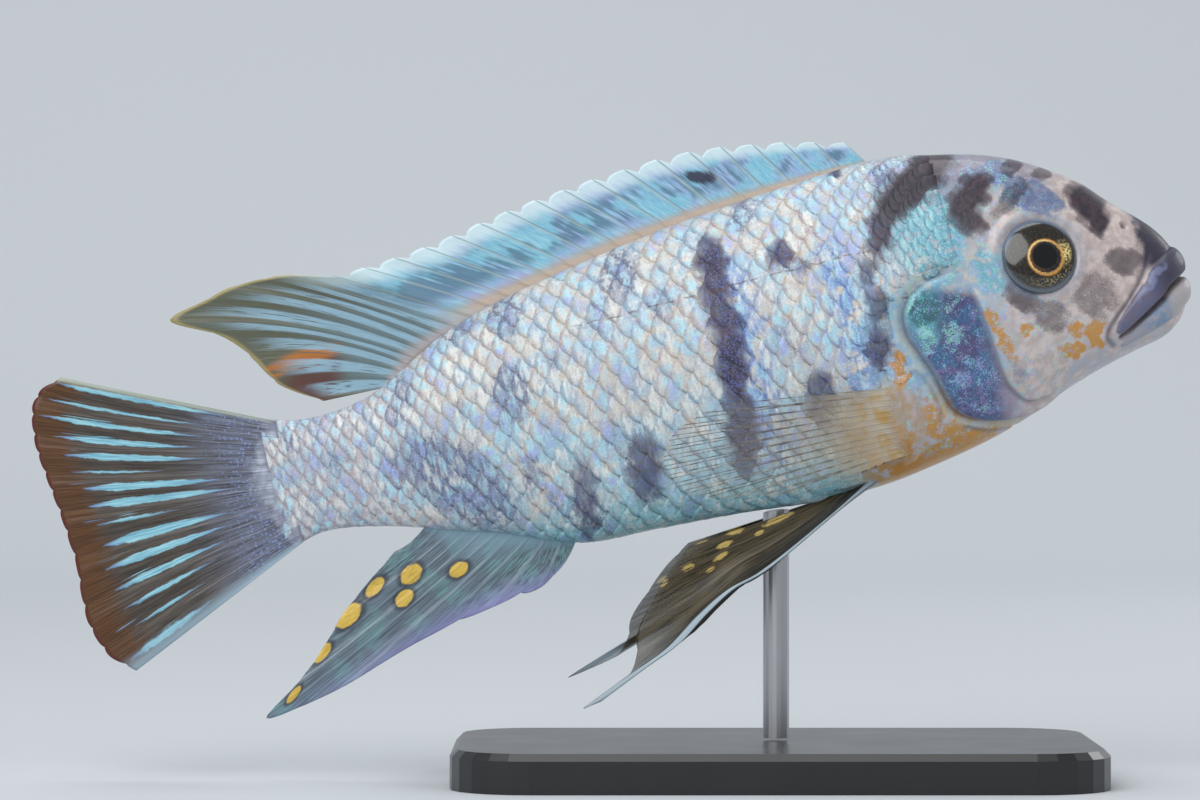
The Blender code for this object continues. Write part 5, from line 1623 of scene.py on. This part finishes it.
def pectoral_finish():
    """A clear fin: thin broken dark rays over a membrane that is hardly there, tan at its root."""
    f = FinFinish("pectoral_fin", {"Roughness": 0.3})
    streak, beads = f.noise(f.along, 5, 3), f.noise(f.along, 11, 2).step(0.40, 0.56)
    forked = f.maths("ABSOLUTE", f.maths("MINIMUM", f.part, 1 - f.part) - f.out.step(0.3, 1) * 0.21)
    rays = forked.step(0.085, 0.03) * f.out.step(0.05, 0.2)
    root = (f.out + (streak - 0.5) * 0.2).step(0.36, 0.02)
    tan = (f.out + (streak - 0.5) * 0.4).step(0.78, 0.12)
    f.paint("Base Color", f.painted(
        (0.50, 0.47, 0.40), (tan * 0.8, (0.60, 0.45, 0.25)), (rays * beads, (0.035, 0.03, 0.03)),
        (root, f.mix((f.noise(f.place, 0.6, 3) + streak * 0.3).step(0.5, 0.7),
                     (0.62, 0.40, 0.13), (0.64, 0.58, 0.48)))))
    cover = 0.05 + tan * 0.26 + rays * (0.12 + beads * 0.68) * (1 - root) + root * 0.4
    f.paint("Alpha", cover * (f.out + streak * 0.08).step(0.02, 0.15))
    f.paint("Coat Weight", 0.15)
    return f.made


def pectoral_rays(side):
    """Fourteen fine rays that spread from the lobe and stand a little off the flank."""
    def root(c):
        share = c / (PECTORAL_RAYS - 1)
        u, v = [a + (b - a) * share for a, b in zip(*PECTORAL_ROOT)]
        return (u, side * (float(width_at(u, v)) + PECTORAL_ROOT_OFF), v)

    def tip(c):
        u, v = rows_of(PECTORAL_TIPS, c)
        return (u, side * PECTORAL_TIP_Y, v)

    return straight_rays(PECTORAL_RAYS, root, tip, lambda c: (0, side * PAIRED_BOW, 0), 40)


pectoral_look = pectoral_finish()
pectoral_right = make_fin("pectoral_right", pectoral_rays(-1), pectoral_look, side=-1)
pectoral_left = make_fin("pectoral_left", pectoral_rays(1), pectoral_look)
print("pectoral fins:", len(pectoral_right.data.polygons) * 2, "faces")

# %% [markdown]
# ## Eyes
# A fish's eye has no lids. It sits in a shallow socket as a low, wet dome: a black pupil, a thin
# gold ring, a dark iris flecked with gold, and a dark rim with a painted highlight along its top.
# The dome is a profile turned round the skin's own normal, and each point keeps its place across
# the eye, so that the rings stay round.

# %% The dome
EYE_PROFILE = [(0, 1), (0.8, 0.97), (1.5, 0.88), (2.3, 0.7), (3, 0.5), (3.5, 0.3), (3.9, 0.06), (4.2, -0.2),
               (4.35, -0.5), (4.3, -1.2), (3.5, -2), (0, -2.3)]
EYE_SIDES, EYE_RINGS = 96, 60
EYE_SPAN = 9                    # a little more than the eye's width, for its unwrap
PUPIL_AT = (0.25, -0.5)
EYE_FORWARD, EYE_UPWARD = math.radians(10), math.radians(13)


def make_eye(name, side, finish):
    """One eye on its side of the head, turned a little forward and up."""
    reach = np.linspace(0, len(EYE_PROFILE) - 1, EYE_RINGS + 1)[1:-1]
    radius, height = between(EYE_PROFILE, reach).T
    turn = np.arange(EYE_SIDES) / EYE_SIDES * math.tau
    sideways = side * math.cos(EYE_FORWARD) * math.cos(EYE_UPWARD)
    outward = np.array([math.sin(EYE_FORWARD), sideways, math.sin(EYE_UPWARD)])
    outward /= np.linalg.norm(outward)
    up = np.array([0, 0, 1]) - outward * outward[2]
    up /= np.linalg.norm(up)
    ahead = np.cross(up, outward) * side
    middle = np.array([EYE_AT[0], side * float(width_at(*EYE_AT)), EYE_AT[1]])
    across, upward = radius[:, None] * np.cos(turn), radius[:, None] * np.sin(turn)
    points = (middle + across[..., None] * ahead + upward[..., None] * up
              + (height[:, None] + 0 * across)[..., None] * outward).reshape(-1, 3)
    ends = [middle + outward * EYE_PROFILE[0][1], middle + outward * EYE_PROFILE[-1][1]]
    i, k = np.meshgrid(np.arange(len(radius) - 1), np.arange(EYE_SIDES), indexing="ij")
    a, b = (i * EYE_SIDES + k).ravel(), (i * EYE_SIDES + (k + 1) % EYE_SIDES).ravel()
    faces = np.stack([a, a + EYE_SIDES, b + EYE_SIDES, b], -1).tolist()
    last, k = (len(radius) - 1) * EYE_SIDES, range(EYE_SIDES)
    faces += [(len(points), n, (n + 1) % EYE_SIDES) for n in k]
    faces += [(len(points) + 1, last + (n + 1) % EYE_SIDES, last + n) for n in k]
    eye = new_mesh(name, np.concatenate([points, ends]), faces, finish)
    face_outwards(eye.data)
    face_place = np.stack([np.append(across.ravel(), (0, 0)), np.append(upward.ravel(), (0, 0)),
                           np.append((height[:, None] + 0 * across).ravel(), (1, -2.3))], -1)
    note(eye.data, "eye_place", face_place, "FLOAT_VECTOR")
    lay_out(eye.data, face_place[corner_points(eye.data), :2] / EYE_SPAN + 0.5, 0)
    return eye


print("an eye is", 2 * max(radius for radius, _ in EYE_PROFILE), "mm across")

# %% [markdown]
# Pupil, ring and iris could be shapes below a clear dome. On an eye of nine millimetres they read
# as well when painted under a wet coat.

# %% The eye's finish
def eye_finish():
    """Pupil, gold ring, dark iris with gold flecks, a dark rim with a painted highlight on top, and a wet
    coat.
    """
    finish = Finish("wet_eye", {"Roughness": 0.2, "Coat Roughness": 0.07, "Coat Weight": 1.0, "IOR": 1.4})
    behind, up, _ = finish.split(finish.attribute("eye_place", "Vector"))
    across = 0 - behind
    plane = finish.flat(across, up)
    from_middle = finish.length(plane)
    from_pupil = finish.length(finish.flat(across - PUPIL_AT[0], up - PUPIL_AT[1]))
    flecks = finish.noise(plane, 3.6, 4)
    wander = finish.noise(plane, 1.5, 2) - 0.5
    ring = (from_pupil + (flecks - 0.5) * 0.3 - across * 0.05 + up * 0.05).bump_at(1.95, 0.27)
    front = (across + wander).step(1.7, 2.5) * (up + 0.5).bump_at(0, 1.9) * from_middle.step(3.8, 3.2)
    front = front * from_pupil.step(2, 2.2)
    lower_arc = (up + wander).step(-1.4, -2.6) * from_middle.bump_at(3.4, 0.7)
    finish.paint("Base Color", finish.painted(
        finish.mix(flecks.step(0.4, 0.7), (0.012, 0.010, 0.008), (0.045, 0.036, 0.022)),
        (lower_arc * flecks.step(0.48, 0.6) * across.step(-3, 0) * 0.8, (0.34, 0.27, 0.10)),
        (front * flecks.step(0.32, 0.5),
         finish.mix(flecks.step(0.45, 0.65), (0.50, 0.34, 0.07), (0.95, 0.84, 0.46))),
        (from_pupil.bump_at(1.6, 0.3) * across.step(0.6, -0.8), (0.10, 0.04, 0.02)),
        (ring, finish.mix(from_pupil.step(2.05, 1.8), (0.62, 0.30, 0.06), (0.95, 0.68, 0.28))),
        (from_pupil.step(1.5, 1.38), (0.002, 0.002, 0.002)),
        (from_middle.step(3.8, 4.2) * 0.85, (0.11, 0.14, 0.18)),
        # a painted highlight along the top of the rim
        (from_middle.step(3.5, 4.1) * up.step(0.5, 3) * 0.7, (0.22, 0.32, 0.46))))
    return finish.made


wet_eye = eye_finish()
eye_right, eye_left = make_eye("eye_right_wet", -1, wet_eye), make_eye("eye_left_wet", 1, wet_eye)
print("eyes:", len(eye_right.data.polygons) * 2, "faces")

# %% [markdown]
# ## What rides where
# The fish is one still body, so every piece rides on it and takes the place of its solids.

# %% Pieces, the solids they stand for, and their slots
PLACES = [
    (skin, ("head", "jaw", "gill_cover_left", "gill_cover_right", "trunk", "tail_stem"), "skin"),
    (scales, (), "skin"),
    (dorsal_fin, ("dorsal_fin",), "fin"),
    (tail_fin, ("tail_fin",), "fin"),
    (anal_fin, ("anal_fin",), "fin"),
    (pelvic_right, ("pelvic_fin_right",), "dark_fin"),
    (pelvic_left, ("pelvic_fin_left",), "dark_fin"),
    (pectoral_right, ("pectoral_fin_right",), "clear_fin"),
    (pectoral_left, ("pectoral_fin_left",), "clear_fin"),
    (eye_right, ("eye_right",), "eye"),
    (eye_left, ("eye_left",), "eye"),
]
for piece, nodes, slot in PLACES:
    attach(piece, "root")
    if nodes:
        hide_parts(*nodes)
print("pieces:", len(PLACES))

# %% [markdown]
# ## The stand
# The base is satin black lacquer and the rod is brushed steel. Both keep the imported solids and
# only get a finish.

# %% Stand finishes
def base_finish():
    """Satin black lacquer, with a very faint cloudiness."""
    finish = Finish("black_lacquer", {"Coat Roughness": 0.2, "Coat Weight": 0.3})
    place = finish.fish_place()
    cloud = finish.noise(place, 0.12, 4)
    finish.paint("Base Color", finish.mix(cloud, (0.006, 0.006, 0.007), (0.014, 0.014, 0.016)))
    finish.paint("Roughness", 0.3 + cloud * 0.12)
    return finish.made


def rod_finish():
    """Steel brushed along its length."""
    finish = Finish("brushed_steel", {"Metallic": 1.0, "Base Color": (0.55, 0.55, 0.57)})
    world = finish.node("ShaderNodeTexCoord", out="Object")
    drawn = finish.node("ShaderNodeMapping", values={"Vector": world, "Scale": (9000.0, 9000.0, 150.0)})
    finish.paint("Roughness", 0.25 + finish.noise(drawn, 1.0, 2) * 0.2)
    return finish.made


for node, look in (("stand_base", base_finish()), ("stand_rod", rod_finish())):
    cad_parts[node].material_slots[0].material = look
print("stand:", [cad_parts[node].name for node in ("stand_base", "stand_rod")])

# %% [markdown]
# ## Floor
# A pale floor that curves up into a backdrop leaves only soft shadows.

# %% Floor and backdrop
SWEEP_AT, SWEEP_RADIUS, PAPER = 0.6, 0.5, (0.60, 0.63, 0.66)
FLOOR_FRONT, FLOOR_HALF_WIDTH, FLOOR_TOP = -1.6, 2.2, 2


def make_floor():
    """A sheet that runs back and curves up, with a faint glow far back that keeps it even."""
    finish = Finish("pale_paper", {"Base Color": PAPER, "Roughness": 0.9, "Emission Strength": 0.32})
    behind = finish.split(finish.node("ShaderNodeTexCoord", out="Object"))[1].step(0.1, 1)
    finish.paint("Emission Color", finish.mix(behind, (0.0, 0.0, 0.0), PAPER))
    turn = np.linspace(0, math.pi / 2, 40)
    bend = zip(SWEEP_AT + SWEEP_RADIUS * np.sin(turn), SWEEP_RADIUS * (1 - np.cos(turn)))
    rows = [(FLOOR_FRONT, 0), *bend, (SWEEP_AT + SWEEP_RADIUS, FLOOR_TOP)]
    points = [(x, y, z) for y, z in rows for x in (-FLOOR_HALF_WIDTH, FLOOR_HALF_WIDTH)]
    faces = [(2 * k, 2 * k + 1, 2 * k + 3, 2 * k + 2) for k in range(len(rows) - 1)]
    mesh = bpy.data.meshes.new("floor")
    mesh.from_pydata(points, [], faces)
    mesh.materials.append(finish.made)
    mesh.shade_smooth()
    return placed("floor", mesh)


floor = make_floor()
print("floor:", len(floor.data.polygons), "faces")

# %% [markdown]
# Large soft discs show a wet, rounded body best. A small lamp would put one hard spot on each
# scale. The fill stays out of reflections, so that the eye shows a single window.

# %% Lights and world
LIGHTS = [  # name, place, size and power in watts, all aimed at the fish
    ("key", (-0.36, -0.55, 0.55), 0.85, 5.0), ("fill", (0.6, -0.5, 0.3), 0.6, 1.3),
    ("top", (-0.05, 0.1, 0.8), 0.6, 2.2), ("rim", (0.5, 0.4, 0.3), 0.3, 0.8)]
PICTURE_MIDDLE = (36.07, 8.93)  # right of the fish's origin and above it
AIM = Vector((ORIGIN[0] + PICTURE_MIDDLE[0], 0, ORIGIN[1] + PICTURE_MIDDLE[1])) * MM


def aimed(made, place, target):
    """Puts an object somewhere and points it at a target."""
    made.location = place
    made.rotation_euler = (target - Vector(place)).to_track_quat("-Z", "Y").to_euler()
    bpy.context.scene.collection.objects.link(made)


for name, place, size, power in LIGHTS:
    lamp = bpy.data.lights.new(name, "AREA")
    lamp.shape, lamp.size, lamp.energy = "DISK", size, power
    made = bpy.data.objects.new(name, lamp)
    made.visible_glossy = name != "fill"
    aimed(made, place, AIM)

world = bpy.data.worlds.new("studio")
world.use_nodes = True
world.node_tree.nodes["Background"].inputs["Color"].default_value = (0.80, 0.86, 0.92, 1)
world.node_tree.nodes["Background"].inputs["Strength"].default_value = 0.3
bpy.context.scene.world = world
bpy.context.scene.view_settings.view_transform = "Standard"
print("lights:", len(LIGHTS))

# %% [markdown]
# The camera looks along +Y at the fish's right side, as the photograph does. A long lens from
# half a metre keeps the outline nearly free of perspective.

# %% Camera
CAMERA_DISTANCE, FOCAL, SENSOR = 0.55, 144, 36
lens = bpy.data.cameras.new("camera")
lens.lens, lens.sensor_width, lens.clip_start = FOCAL, SENSOR, 0.01
camera = bpy.data.objects.new("camera", lens)
aimed(camera, AIM - Vector((0, CAMERA_DISTANCE, 0)), AIM)
bpy.context.scene.camera = camera
print("the camera sees", round(SENSOR / FOCAL * CAMERA_DISTANCE / MM, 1), "mm across")
